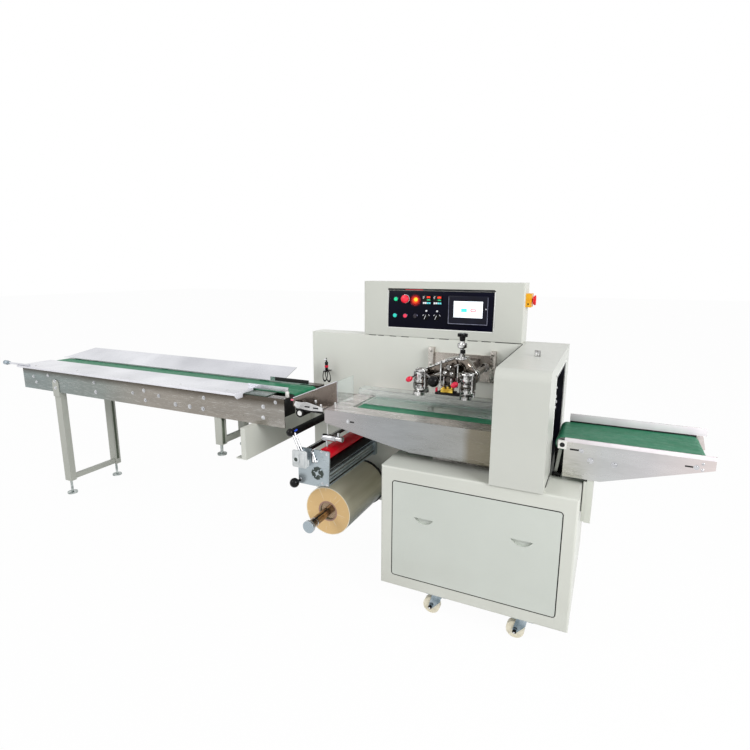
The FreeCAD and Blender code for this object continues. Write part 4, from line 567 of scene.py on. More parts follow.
# This finish glows faintly: light of their own on the meter and screen lamps, and a painted brightness on the
# knobs, lines and keys.
pale_print = moulded("panel_print", (206, 208, 214), (236, 237, 240), 0.4, 60.0, 0.25)
build("small_knobs", pale_print,
      [(turned, (x - 2, PANEL_FACE, MIDDLE_ROW), OUTWARD, [(0, 5), (6, 4.6), (8, 3.4), (8.5, 0)])
       for x in SELECTOR_X])
shapes = []
for x in SELECTOR_X:
    shapes.append((block, (x - 4.4, PANEL_FACE - 20.6, LOW_ROW - 13),
                   (x - 2.2, PANEL_FACE - 19.6, LOW_ROW + 9), 0.3, (24, "Y")))
    for left, lean in ((x - 20, 40), (x + 12, -40)):
        shapes.append((block, (left, PANEL_FACE - 1.0, LOW_ROW + 3), (left + 2, PANEL_FACE, LOW_ROW + 13),
                       0.0, (lean, "Y")))
build("selector_lines", pale_print, shapes)

LIT_FACE, LIT_BACK = PANEL_FACE - 7.6, PANEL_FACE - 6.6


def figures(bm, left, bottom, count, size, step, stroke):
    """A row of plain lit figures on a meter's glass, each of two upright strokes and two or three bars."""
    for place in range(count):
        x, middle, top = left + place * step, bottom + size / 2, bottom + size
        for side in (x, x + size / 2 - stroke):
            block(bm, (side, LIT_FACE, bottom), (side + stroke, LIT_BACK, top))
        for bar in (bottom, middle - stroke / 2, top - stroke)[place % 2:]:
            block(bm, (x, LIT_FACE, bar), (x + size / 2, LIT_BACK, bar + stroke))


def key(bm, left):
    """One of the four keys in the row under a meter's figures."""
    block(bm, (left, PANEL_FACE - 8.2, TOP_ROW - 21), (left + 9.5, LIT_BACK, TOP_ROW - 12), 0.8)


build("meter_figures", moulded("figures_red", (240, 60, 44), (255, 96, 66), 0.4, 60.0, 1.0),
      [(figures, x + 1, TOP_ROW + 9, 3, 9, 6.5, 1.3) for x in SELECTOR_X])
build("meter_set_values", moulded("figures_green", (50, 190, 130), (90, 214, 150), 0.4, 60.0, 0.7),
      [(figures, x + 2, TOP_ROW - 3, 4, 6, 4.6, 1.0) for x in SELECTOR_X])
build("meter_lamps", pale_print,
      [(block, (x - 22, LIT_FACE, z), (x - 12, LIT_BACK, z + 2.0), 0.0, (-35, "Y")) for x in SELECTOR_X
       for z in (TOP_ROW + 8, TOP_ROW + 15)])
build("meter_keys", pale_print, [(key, x + side) for x in SELECTOR_X for side in (-21, -10)])
# The blue keys glow faintly though they hold no lamp: a painted brightness.
build("meter_keys_blue", moulded("key_blue", (60, 190, 206), (120, 214, 224), 0.4, 60.0, 0.3),
      [(key, x + side) for x in SELECTOR_X for side in (1, 12)])

# Touch screen
# A black moulded frame, clipped through the panel round a lit glass display that shows two plain
# key fields on a white page, with a small lamp beside it. A pale line along the frame's left,
# bottom and right edges is a painted highlight on its bevels.
SCREEN_LEFT, SCREEN_RIGHT, SCREEN_BOTTOM, SCREEN_TOP = 81.0, 289.0, 1235.0, 1382.0
GLASS_LEFT, GLASS_RIGHT, GLASS_BOTTOM, GLASS_TOP = 111.0, 261.0, 1272.0, 1355.0
bm = bmesh.new()
block(bm, (SCREEN_LEFT, PANEL_FACE - 8, SCREEN_BOTTOM), (SCREEN_RIGHT, PANEL_FACE, SCREEN_TOP), 3.0)
front = min(bm.faces, key=lambda face: face.calc_center_median().y)
bmesh.ops.inset_region(bm, faces=[front], thickness=16.0, depth=0.0)
bmesh.ops.translate(bm, vec=(0, 1.5, 0), verts=front.verts)
frame_plastic = moulded("frame_plastic", (8, 9, 26), (16, 17, 36), 0.34, 30.0, gleam=0.22)
piece("touch_screen_frame", bm, frame_plastic, stands_for=["touch_screen"])

LINE_DEPTH = PANEL_FACE - 7.2
foot_left, foot_right = [(x, LINE_DEPTH, SCREEN_BOTTOM + 4) for x in (SCREEN_LEFT + 3, SCREEN_RIGHT - 3)]
head_left, head_right = [(x, LINE_DEPTH, SCREEN_TOP - 6) for x in (SCREEN_LEFT + 3, SCREEN_RIGHT - 3)]
build("screen_bevel_highlight", moulded("bevel_highlight_grey", (96, 98, 122), (150, 152, 172), 0.3, 20.0), [
    (rod, head_left, foot_left, 1.4),
    (rod, foot_left, foot_right, 1.8),
    (rod, foot_right, head_right, 1.4)])


def lit(name, colour, worn, glow):
    return moulded(name, colour, worn, 0.12, 6.0, glow)


page = lit("screen_page", (232, 240, 248), (244, 248, 252), 0.75)
key_cyan = lit("key_cyan", (60, 216, 206), (110, 226, 216), 0.55)
key_rose = lit("key_rose", (240, 116, 124), (248, 150, 156), 0.55)
for name, left, right, bottom, top, lift, material in (
        ("screen_page", GLASS_LEFT, GLASS_RIGHT, GLASS_BOTTOM, GLASS_TOP, 7.2, page),
        ("screen_key_left", 151.0, 180.0, 1301.0, 1318.0, 7.5, key_cyan),
        ("screen_key_right", 199.0, 227.0, 1303.0, 1317.0, 7.5, key_rose),
        ("screen_key_middle", 204.0, 222.0, 1307.5, 1312.5, 7.8, page)):
    build(name, material,
          [(block, (left, PANEL_FACE - lift, bottom), (right, PANEL_FACE - lift + 1.0, top), 0.2)])
build("screen_lamp", pale_print, [(rod, (278, PANEL_FACE - 7.6, 1318), (278, PANEL_FACE - 6, 1318), 3.0)])

# Isolator
# A yellow switch plate with a red turning grip on the control box's side, moulded in plastic and
# held by four screws.


def machine_box(name):
    """A solid's low and high corners in the machine's own millimetres."""
    return [tuple((value - corner[axis] * (axis < 2)) * 1000 for axis, value in enumerate(spot))
            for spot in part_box(name)]


dress(moulded("isolator_yellow", (234, 158, 10), (242, 180, 24), 0.3), "isolator_body")
low, high = machine_box("isolator_handle")
middle_y, middle_z = (low[1] + high[1]) / 2, (low[2] + high[2]) / 2
build("isolator_grip", moulded("isolator_red", (214, 20, 34), (232, 48, 50), 0.25),
      [(turned, (low[0], middle_y, middle_z), (1, 0, 0),
        [(0, 0), (0, 8), (14, 8), (16, 20), (20, 20), (22, 17), (22, 0)]),
       (prism,
        [(middle_y - 7, low[2] + 3), (middle_y + 7, low[2] + 3), (middle_y + 7, high[2] - 12),
         (middle_y, high[2] - 1), (middle_y - 7, high[2] - 12)], "X", low[0] + 20, high[0] - 1, 1.5)],
      "isolator_handle", ["isolator_handle"])
low, high = machine_box("isolator_body")
build("isolator_screws", black_plastic, [
    (turned, (low[0] + 12, low[1], low[2] + 16), OUTWARD, [(-0.5, 4), (0.6, 4), (0.8, 0)])]
    + [(turned, (high[0], y, z), (1, 0, 0), [(-0.5, 3.5), (0.5, 3.5), (0.8, 0)])
       for y in (low[1] + 8, high[1] - 8) for z in (low[2] + 8, high[2] - 8)])

# Castors
# Zinc plated swivel castors, pressed from sheet, with cast nylon wheels, bolted under the cabinet.
zinc = metal("zinc_plate", (104, 120, 128), (186, 198, 206), 0.2, 0.36, (10.0, 10.0, 10.0), 20.0, 0.3)
nylon = moulded("cast_nylon", (222, 214, 190), (236, 230, 212), 0.35, 30.0)
AXLE_HEIGHT = 37.5
AXLE_NUT = [(-0.5, 9), (0.8, 9), (1.2, 6.5), (4.5, 6.5), (5.5, 5), (5.5, 0)]
AXLE_PIN = [(0, 4), (2, 4), (2.6, 3), (2.6, 0)]
dress(zinc, "castor_plates")
for end, x, front, back in (("front_left", 231.5, 24.5, 84.0), ("front_right", 600.0, 24.5, 84.0),
                            ("rear_left", 231.5, 680.0, 740.0), ("rear_right", 600.0, 680.0, 740.0)):
    fork = "castor_fork_" + end
    dress(zinc, fork)
    dress(nylon, "castor_wheel_" + end)
    for name, material, profile, stand_off in (("castor_nuts_", black_plastic, AXLE_NUT, 0),
                                               ("castor_pins_", chrome, AXLE_PIN, 5)):
        build(name + end, material,
              [(turned, (x, y + way * stand_off, AXLE_HEIGHT), (0, way, 0), profile, 12)
               for y, way in ((front, -1), (back, 1))], fork)

# End seal jaws and their frame
# Two forged blades turn against each other in a black frame, driven from behind; the frame's side
# plates hold the bearings. The frame is coloured near black, for its own dark paint and as painted
# shade inside the housing.
dress(moulded("frame_dark_and_shade", (8, 8, 18), (18, 18, 32), 0.3, 20.0, gleam=0.3), "end_seal_frame")
ground_steel = metal("ground_steel", (120, 118, 114), (170, 168, 164), 0.2, 0.4, (4.0, 30.0, 30.0), 12.0)
dress(ground_steel, "end_seal_upper_jaw", "end_seal_lower_jaw")

# Clear acrylic: trough cover and film guide window
# Four millimetre sheet, bent warm over a bar and screwed to the table; its edges are polished.
made, wire = start_material("clear_acrylic")
finish(made, {
    "Base Color": wire.noise(3.0, 2.0).ramp(0.3, 0.7).mixed((238, 246, 244), (248, 252, 251)),
    "Roughness": wire.noise(20.0, 4.0).ramp(0.45, 0.8) * 0.12 + 0.02,
    "Transmission Weight": 0.84, "IOR": 1.3})
dress(made, "trough_cover", "film_guide_window")

# Fin seal head
# Two polished housings, whose paired seal wheels close the film's long seam, hang from a cast yoke on
# an arm off the back plate. Gears between them are driven from behind; levers with balls part them.
HEAD_LEFT, HEAD_RIGHT, HEAD_LINE = 62.0, 285.0, 318.0
HEAD_BOTTOM, HEAD_TOP = 958.0, 1046.0
PEAK_X, PEAK_TOP = 236.0, 1115.0
GEAR_X, TOOTH_ROOT = 201.5, 0.84
UPWARD = (0, 0, 1)


def ball(bm, centre, radius, stretch=1.0, along=(0, 0, 1)):
    shape = stand(centre, along) @ Matrix.Diagonal((1.0, 1.0, stretch, 1.0))
    bmesh.ops.create_uvsphere(bm, u_segments=32, v_segments=20, radius=radius, matrix=shape)


def gear(bm, start, end, radius, teeth):
    """A toothed wheel: a drum whose every other pair of corners is drawn in."""
    start, end = Vector(start), Vector(end)
    verts = bmesh.ops.create_cone(bm, cap_ends=True, segments=teeth * 4, radius1=radius, radius2=radius,
                                  depth=(end - start).length)["verts"]
    for vert in verts:
        place = round(math.atan2(vert.co.y, vert.co.x) / math.tau * teeth * 4) % 4
        if place > 1:
            vert.co.xy = vert.co.xy * TOOTH_ROOT
    bmesh.ops.transform(bm, matrix=stand((start + end) / 2, end - start), verts=verts)


def bolt(bm, place, outward, radius=6.0, height=4.5):
    """A hexagon head on its washer."""
    place, outward = Vector(place), Vector(outward).normalized()
    turned(bm, place, outward, [(0, radius * 1.45), (1.2, radius * 1.45), (1.6, radius * 1.3), (1.6, 0)],
           24)
    rod(bm, place + outward * 1.4, place + outward * (1.6 + height), radius, radius * 0.16, 6)


def acorn(bm, place, outward, radius=6.0, stud=0.0):
    """A domed nut on its washer, up a stud where it stands clear of the sheet."""
    place, outward = Vector(place), Vector(outward).normalized()
    if stud:
        rod(bm, place, place + outward * (stud + 1), radius * 0.5)
    foot = place + outward * stud
    turned(bm, foot, outward, [(0, radius * 1.5), (1.2, radius * 1.5), (1.5, radius * 1.3), (1.5, 0)], 24)
    rod(bm, foot + outward * 1.4, foot + outward * (1.5 + radius * 0.8), radius, radius * 0.15, 6)
    ball(bm, foot + outward * (1.5 + radius * 0.8), radius * 0.82, 0.95, outward)


polished = metal("polished_head", (64, 61, 58), (244, 244, 243), 0.05, 0.15, (5.0, 5.0, 5.0), 46.0, 0.35)
gear_steel = metal("gear_steel", (34, 32, 30), (112, 106, 100), 0.12, 0.24, (9.0, 9.0, 9.0), 30.0, 0.3)
bracket_steel = metal("bracket_steel", (150, 144, 137), (196, 188, 180), 0.22, 0.36, (20.0, 2.0, 2.0),
                      8.0, shine=0.8)
yoke_steel = metal("yoke_steel", (76, 70, 64), (150, 140, 130), 0.1, 0.22, (12.0, 2.0, 12.0), 16.0, 0.3)
brass = metal("brass", (142, 104, 30), (246, 216, 104), 0.12, 0.24, (9.0, 9.0, 9.0), 40.0, 0.3)
ball_red = moulded("ball_red", (214, 4, 44), (238, 24, 76), 0.12, 20.0)
post_steel = metal("post_steel", (150, 144, 136), (196, 192, 186), 0.2, 0.34, (2.0, 30.0, 6.0), 8.0)

for side in ("left", "right"):
    dress(polished, "fin_wheel_%s_front" % side, "fin_wheel_%s_rear" % side)
TOWER = [(0, 21), (7, 21), (8, 25), (17, 25), (18, 17), (30, 17), (31, 24), (42, 24), (43, 18), (55, 18),
         (56, 26), (66, 26), (67, 22), (80, 22)]
shapes = []
for x, cap_radius, sides in ((HEAD_LEFT, 33.0, 8), (HEAD_RIGHT, 38.0, 12)):
    shapes.append((rod, (x, HEAD_LINE, HEAD_BOTTOM), (x, HEAD_LINE, HEAD_BOTTOM + 9), 36.0, 1.5, 40))
    for y in (HEAD_LINE - 20, HEAD_LINE + 21):
        shapes.append((turned, (x, y, HEAD_BOTTOM + 8), UPWARD, TOWER))
    shapes.append((rod, (x, HEAD_LINE, HEAD_TOP), (x, HEAD_LINE, HEAD_TOP + 7), cap_radius, 1.0, sides,
                   cap_radius - 2))
    shapes.append((rod, (x, HEAD_LINE, HEAD_TOP + 6), (x, HEAD_LINE, HEAD_TOP + 12), cap_radius * 0.6,
                   1.0, 24))
    for step in (-1, 1):
        shapes.append((bolt, (x + step * cap_radius * 0.7, HEAD_LINE - step * 12, HEAD_TOP + 7), UPWARD,
                       4.0, 4.0))
        shapes.append((rod, (x + step * 27, HEAD_LINE - 26, HEAD_BOTTOM + 8),
                       (x + step * 27, HEAD_LINE - 26, HEAD_TOP + 1), 4.0))
build("head_housings", polished, shapes, stands_for=["fin_seal_head"])
build("head_cores", gear_steel,
      [shape for x in (HEAD_LEFT, HEAD_RIGHT) for shape in (
          (block, (x - 30, HEAD_LINE - 8, HEAD_BOTTOM + 14), (x + 30, HEAD_LINE + 38, HEAD_TOP - 8), 3.0),
          (gear, (x, HEAD_LINE - 20, HEAD_BOTTOM + 30), (x, HEAD_LINE - 20, HEAD_BOTTOM + 37), 24.0, 16),
          (turned, (x, HEAD_LINE, HEAD_TOP + 12), UPWARD, [(-1, 13), (0.8, 13), (1.0, 0)]))])

# Yoke of the fin seal head
# A cast arch, polished along its edges, joins the two housings. It is bolted to an arm and a tie rod
# that run back to the plate on the back housing.
YOKE_FRONT, YOKE_BACK, ARM_BACK = 346.0, 416.0, 637.0
TIE_X, TIE_Z = HEAD_RIGHT + 20, 1038
build("head_yoke", yoke_steel,
      [(prism,
        [(HEAD_LEFT - 14, 1000), (HEAD_LEFT - 4, 1044), (PEAK_X - 24, PEAK_TOP - 4),
         (PEAK_X - 12, PEAK_TOP - 36), (HEAD_LEFT + 24, 1006)], "Y", YOKE_FRONT + 14, YOKE_BACK, 4.0),
       (prism,
        [(PEAK_X - 24, PEAK_TOP - 4), (PEAK_X + 24, PEAK_TOP - 4), (HEAD_RIGHT + 34, 1042),
         (HEAD_RIGHT + 30, 1000), (HEAD_RIGHT - 8, 1004), (PEAK_X + 2, PEAK_TOP - 40)], "Y",
        YOKE_FRONT + 14, YOKE_BACK, 4.0),
       (rod, (HEAD_RIGHT - 2, 352, 1070), (PEAK_X + 18, 352, PEAK_TOP - 14), 17.0, 2.0, 32),
       (prism, [(PEAK_X - 30, 1030), (PEAK_X + 30, 1030), (PEAK_X + 26, 1070), (PEAK_X - 26, 1070)], "Y",
        YOKE_BACK - 2, ARM_BACK, 4.0),
       (rod, (TIE_X, 392, TIE_Z), (TIE_X, ARM_BACK, TIE_Z), 13.0, 0.0, 32)])
build("head_yoke_edges", polished,
      [(rod, (HEAD_LEFT - 4, 356, 1046), (PEAK_X - 22, 356, PEAK_TOP - 1), 3.0),
       (rod, (HEAD_LEFT + 26, 356, 1010), (PEAK_X - 14, 356, PEAK_TOP - 36), 2.5),
       (rod, (PEAK_X + 24, 356, PEAK_TOP - 1), (HEAD_RIGHT + 34, 356, 1044), 3.0),
       (prism,
        [(112, 1069), (120, 1080), (160, 1100), (PEAK_X - 26, PEAK_TOP - 2),
         (PEAK_X - 34, PEAK_TOP - 14)], "Y", YOKE_FRONT + 2, YOKE_BACK + 8, 2.0),
       (block, (PEAK_X - 26, YOKE_FRONT, PEAK_TOP - 12), (PEAK_X + 26, YOKE_BACK + 6, PEAK_TOP), 3.0),
       (turned, (TIE_X, 560, TIE_Z), (0, 1, 0), [(0, 13), (0, 22), (10, 22), (14, 18), (14, 13)]),
       (turned, (TIE_X, 372, TIE_Z), (0, 1, 0), [(0, 0), (0, 19), (14, 19), (18, 15), (24, 13)]),
       (bolt, (128, 352, 1079), (-0.2, -0.6, 0.8), 5.0, 4.0),
       (bolt, (148, 352, 1089), (-0.2, -0.6, 0.8), 5.0, 4.0)])

# Gear column between the fin seal head's housings
# Small cut steel gears on turned posts bring the drive to the seal wheels. A bar ties the column to
# both housings.
build("gear_posts", polished, [
    (rod, (GEAR_X - 38, 296, 986), (GEAR_X - 38, 296, 1092), 5.0),
    (rod, (GEAR_X + 40, 300, 984), (GEAR_X + 40, 300, 1094), 4.0),
    (rod, (GEAR_X - 20, 288, 984), (GEAR_X - 20, 288, 1034), 6.0),
    (rod, (GEAR_X + 16, 286, 992), (GEAR_X + 16, 286, 1028), 7.0),
    (block, (GEAR_X - 34, 292, 984), (GEAR_X + 34, 340, 992), 2.0),
    (turned, (GEAR_X - 16, 296, 1052), OUTWARD, [(0, 8), (12, 8), (14, 6), (14, 0)]),
    (turned, (GEAR_X + 15, 296, 1050), OUTWARD, [(0, 8), (12, 8), (14, 6), (14, 0)]),
    (turned, (GEAR_X + 2, 290, 1078), OUTWARD, [(0, 11), (6, 11), (8, 9), (8, 0)])])
build("gear_wheels", gear_steel, [
    (block, (GEAR_X - 28, 300, 986), (GEAR_X + 28, 360, 1074), 4.0),
    (gear, (GEAR_X - 16, 288, 1052), (GEAR_X - 16, 298, 1052), 16.0, 14),
    (gear, (GEAR_X + 15, 286, 1050), (GEAR_X + 15, 296, 1050), 16.0, 14),
    (gear, (GEAR_X + 2, 284, 1022), (GEAR_X + 2, 294, 1022), 15.0, 12),
    (gear, (GEAR_X, 304, 1000), (GEAR_X, 304, 1008), 27.0, 20),
    (block, (HEAD_LEFT, 308, 1008), (HEAD_RIGHT, 328, 1030), 3.0)])

# Levers, balls and brass guide
# Turned steel levers end in moulded balls and part the seal wheels. A milled brass guide for the
# film's seam is screwed to a black bar below them.
build("head_levers", polished, [
    (rod, (92, 300, 1034), (136, 262, 1019), 5.0),
    (rod, (256, 292, 1018), (272, 296, 1032), 4.0),
    (rod, (272, 292, 1012), (262, 276, 1030), 4.0)])
build("head_ball_black", black_plastic, [(ball, (143, 252, 1014), 26.0, 0.94, (0, -1, -0.2))])
build("head_balls_red", ball_red, [
    (ball, (27, 250, 1015), 12.5, 1.35, (-0.75, -0.5, -0.45)),
    (ball, (243, 250, 1008), 13.0, 1.4, (-0.75, -0.5, -0.45))])
build("head_ball_stems", black_plastic, [
    (rod, (56, 282, 1036), (34, 256, 1020), 3.6),
    (rod, (268, 282, 1026), (252, 258, 1014), 3.6),
    (block, (152, 250, 956), (264, 286, 967), 3.0),
    (block, (166, 262, 966), (246, 290, 972), 2.0)])
build("head_brass", brass, [
    (block, (178, 254, 967), (234, 286, 986), 2.0),
    (block, (184, 258, 985), (196, 284, 992), 1.5),
    (block, (204, 258, 985), (214, 284, 995), 1.5),
    (rod, (228, 262, 985), (228, 262, 998), 5.0)])
build("head_seal_lamp", ball_red, [(block, (150, 262, 962), (157, 278, 984), 1.5)])

# Back plate of the fin seal head
# A brown-grey plate with a light post at either end, each held by two bolts to the back housing.
dress(bracket_steel, "fin_seal_bracket")
build("bracket_posts", post_steel,
      [(block, (x, 618.5, 951), (x + 28, 620.2, 1112), 0.6) for x in (-10, 317)]
      + [(bolt, (x, 619, z), OUTWARD, 6.5, 5.0) for x in (4, 331) for z in (1024, 1096)])

# Height knob
# A black star knob and a nut on a screw, in a chrome sleeve, which lifts and lowers the head.
KNOB_Y = 381.0
LOBES, LOBE_REACH = 5, 16
lobes = []
for index in range(LOBES):
    turn = math.tau * index / LOBES
    x, y = PEAK_X + LOBE_REACH * math.cos(turn), KNOB_Y + LOBE_REACH * math.sin(turn)
    lobes.append((rod, (x, y, 1209), (x, y, 1225), 8.5, 3.0, 16))
build("height_star", black_plastic, lobes + [
    (rod, (PEAK_X, KNOB_Y, 1207), (PEAK_X, KNOB_Y, 1224), 15.0, 2.0, 32),
    (turned, (PEAK_X, KNOB_Y, 1188), UPWARD, [(0, 11), (4, 12.5), (20, 14)]),
    (rod, (PEAK_X + 9, KNOB_Y - 10, 1160), (PEAK_X + 9, KNOB_Y - 10, 1171), 10.0, 1.0, 6),
    (rod, (PEAK_X + 6, KNOB_Y - 6, 1132), (PEAK_X + 6, KNOB_Y - 6, 1150), 12.0, 1.0, 12)],
    "height_knob", ["height_knob"])
build("height_screw", polished,
      [(turned, (PEAK_X, KNOB_Y, 1086), UPWARD,
        [(0, 0), (0, 7.8), (30, 7.8), (30, 15), (42, 15), (42, 10), (68, 10), (70, 16), (74, 22),
         (86, 23), (92, 21), (94, 12), (104, 11), (104, 0)])], "height_knob")

# Film unit
# A milled aluminium plate with its twin at the back, tied by bars, holds the nip rollers. A grey
# cast gearbox, a ventilated cover, a chrome lever in its slot and a black hand ball sit on its front.
plate_metal = metal("milled_plate", (148, 160, 166), (186, 196, 201), 0.24, 0.38, (1.0, 30.0, 30.0), 6.0,
                    0.25, 0.7)
dress(plate_metal, "film_unit_frame")
black_rubber = moulded("black_rubber", (8, 8, 9), (20, 20, 21), 0.45, 30.0, gleam=0.2)
dress(black_rubber, "drive_roller", "dancer_roller", "nose_roller")
dress(moulded("red_rubber", (198, 0, 30), (220, 12, 44), 0.34, 24.0, gleam=0.3), "red_roller")
cast_grey = moulded("cast_grey", (196, 201, 203), (214, 218, 219), 0.34, 40.0)
PLATE_FRONT = 100.0
DIAL = (-484, 62, 602)
VENT_X, VENT_Z = -387, 533
TIE_FRONT, TIE_BACK = 109, 618
build("film_gearbox", cast_grey, [
    (block, (-512, 62, 558), (-428, 82, 647), 10.0),
    (block, (-506, 80, 562), (-430, 100, 598), 5.0),
    (turned, DIAL, OUTWARD, [(-1, 20), (3, 20), (5, 18), (5, 11), (2, 10)]),
    (block, (-462, 58, 568), (-436, 63, 636), 4.0)], stands_for=["film_unit_fittings"])
build("film_cover", moulded("vent_green", (44, 54, 50), (66, 76, 70), 0.4, 30.0),
      [(turned, (VENT_X, PLATE_FRONT, VENT_Z), OUTWARD,
        [(0, 34), (4, 34), (6, 31), (6, 27), (3, 26), (3, 0)], 8),
       (turned, DIAL, OUTWARD, [(1, 11), (2.6, 10.5), (3, 0)])])
shapes = [(block, (VENT_X - 22, PLATE_FRONT - 5.5, VENT_Z - 2.2),
           (VENT_X + 22, PLATE_FRONT - 2, VENT_Z + 2.2), 0.8, (turn, "Y")) for turn in (22.5, 112.5)]
for turn in (45, 135, 225, 315):
    x, z = VENT_X + 30 * math.cos(math.radians(turn)), VENT_Z + 30 * math.sin(math.radians(turn))
    shapes.append((block, (x - 4, PLATE_FRONT - 7, z - 4), (x + 4, PLATE_FRONT, z + 4), 1.0, (45, "Y")))
shapes.append((turned, (VENT_X, PLATE_FRONT - 3, VENT_Z), OUTWARD, [(0, 9), (3, 9), (4, 8), (4, 0)]))
build("film_cover_ribs", plate_metal, shapes)
build("film_lever", chrome,
      [(rod, (-413, 97, 642), (-391, 92, 594), 5.0), (ball, (-391, 92, 594), 6.0),
       (rod, (-413, 92, 640), (-413, 116, 640), 6.0), (rod, (-384, 100, 600), (-384, 88, 590), 4.0)]
      + [(bolt, (x, PLATE_FRONT, z), OUTWARD, 4.5, 3.5)
         for x, z in ((-362, 648), (-360, 484), (-334, 480), (-334, 638), (-486, 486))])
build("film_hand_ball", black_plastic, [
    (ball, (-502, 68, 474), 24.0),
    (rod, (-489, 100, 480), (-498, 78, 476), 6.0)])
build("tie_bar_sleeves",
      metal("sleeve_steel", (112, 114, 114), (178, 180, 180), 0.16, 0.24, (30.0, 1.0, 30.0), 3.0, 0.03),
      [(rod, (-342, TIE_FRONT, 522), (-342, TIE_BACK, 522), 15.6)])
build("tie_bar_covers", black_plastic,
      [(rod, (-342, TIE_FRONT, 486), (-342, TIE_BACK, 486), 16.0),
       (rod, (-432, TIE_FRONT, 648), (-432, TIE_BACK, 648), 9.0)])

# Nip cylinder
# A chrome air cylinder on the film unit's plate opens the nip of the two rollers. A pale moulded rod
# runs up from it to the table.
NIP_Y, NIP_Z = 136, 712
build("nip_cylinder", chrome, [
    (rod, (-372, NIP_Y, NIP_Z), (-300, NIP_Y, NIP_Z), 17.0, 2.0, 32),
    (rod, (-301, NIP_Y, NIP_Z), (-264, NIP_Y, NIP_Z), 14.0, 2.0, 32),
    (ball, (-372, NIP_Y, NIP_Z), 14.0, 0.5, (1, 0, 0)),
    (rod, (-352, NIP_Y, 700), (-352, NIP_Y, 650), 5.0),
    (rod, (-288, NIP_Y, 722), (-288, NIP_Y, 742), 6.0)])
build("nip_rod", moulded("rod_white", (216, 216, 214), (232, 232, 230), 0.3, 30.0),
      [(rod, (-348, NIP_Y, 726), (-348, NIP_Y, 800), 3.0)])

# Film dancer
# Two pairs of chrome bars on a cross shaft hold a free roller between their tips; the front pair
# ends in a black ball.
FOOT_X, FOOT_Z, TIP_X, TIP_Z = -474.0, 628.0, -519.6, 725.9
DANCER_FRONT = 89
shapes = [(rod, (FOOT_X, DANCER_FRONT, FOOT_Z), (FOOT_X, 638, FOOT_Z), 8.6),
          (rod, (TIP_X, DANCER_FRONT, TIP_Z), (TIP_X, 613, TIP_Z), 7.8)]
for y in (94.0, 609.0):
    for side in (-7.5, 7.5):
        right, up = side * 0.9, side * 0.42
        shapes.append((rod, (FOOT_X + right, y, FOOT_Z + up), (TIP_X + right, y, TIP_Z + up), 4.5))
    for x, z in ((FOOT_X, FOOT_Z), (TIP_X, TIP_Z)):
        shapes.append((rod, (x, y - 5, z), (x, y + 5, z), 12.5, 1.5, 32))
build("dancer_bars", chrome, shapes, "dancer_arm", ["dancer_arm"])
build("dancer_ball", black_plastic, [(ball, (TIP_X - 2, 74, TIP_Z + 4), 20.0)],
      "dancer_arm")
build("dancer_fitting", moulded("fitting_blue", (20, 60, 220), (60, 110, 240), 0.25, 30.0),
      [(rod, (-508, 92, 734), (-494, 92, 744), 4.5, 1.0, 12)], "dancer_arm")

# Film roll
# Clear packing film wound on a card core. The cut edges of its turns make the amber face, pale at
# the rim and where the slitting knife slipped; the wound side is glossy and grey-beige.
ROLL_X, ROLL_Z = -361.0, 316.0
RIM_REACH, CORE_REACH = 0.1225, 0.0535
made, wire = start_material("wound_film")
dx, dz = wire.axes("XZ", shift=(-(ROLL_X * 0.001 + corner[0]), 0.0, -ROLL_Z * 0.001))
reach = wire.maths("SQRT", dx * dx + dz * dz)
angle = wire.maths("ARCTAN2", dz, dx)
polar = wire.add("ShaderNodeCombineXYZ", {}, {0: angle * 0.9, 1: reach * 1.2, 2: 0.0})
streaks = wire.noise(7.0, 2.0, 0.4, vector=polar).ramp(0.6, 0.74)
rings = wire.add("ShaderNodeCombineXYZ", {}, {0: reach * 260.0})
turns = wire.noise(3.0, 4.0, vector=rings).ramp(0.3, 0.7)
amber = turns.mixed((218, 180, 122), (234, 200, 148))
face_colour = (streaks * 0.75).mixed(amber, (248, 236, 212))
face_colour = (reach > RIM_REACH).mixed(face_colour, (246, 236, 214))
face_colour = (reach < CORE_REACH).mixed(face_colour, (168, 132, 120))
side_tone = wire.noise(4.0, 3.0, stretch=(1.0, 0.3, 3.0)).ramp(0.35, 0.65)
side_colour = side_tone.mixed((186, 180, 154), (230, 225, 204))
# The wound side darkens to deep green towards its bottom: painted shade on the roll's underside, in the
# film's green.
side_colour = ((1.0 - dz.ramp(-0.06, 0.02)) * 0.92).mixed(side_colour, (16, 62, 44))
is_face = abs(wire.outward()) > 0.7
waves = wire.noise(7.0, 3.0, stretch=(1.0, 0.25, 1.0)) * 0.6
finish(made, {
    "Base Color": is_face.mixed(side_colour, face_colour),
    "Roughness": wire.noise(30.0, 3.0, stretch=(1.0, 0.2, 1.0)).ramp(0.3, 0.7) * 0.12 + 0.36,
    "Normal": wire.bump(waves + turns * is_face * 0.1, 0.3, 0.006),
    "Specular IOR Level": 0.2,
    "Coat Weight": 0.1})
dress(made, "film_roll")

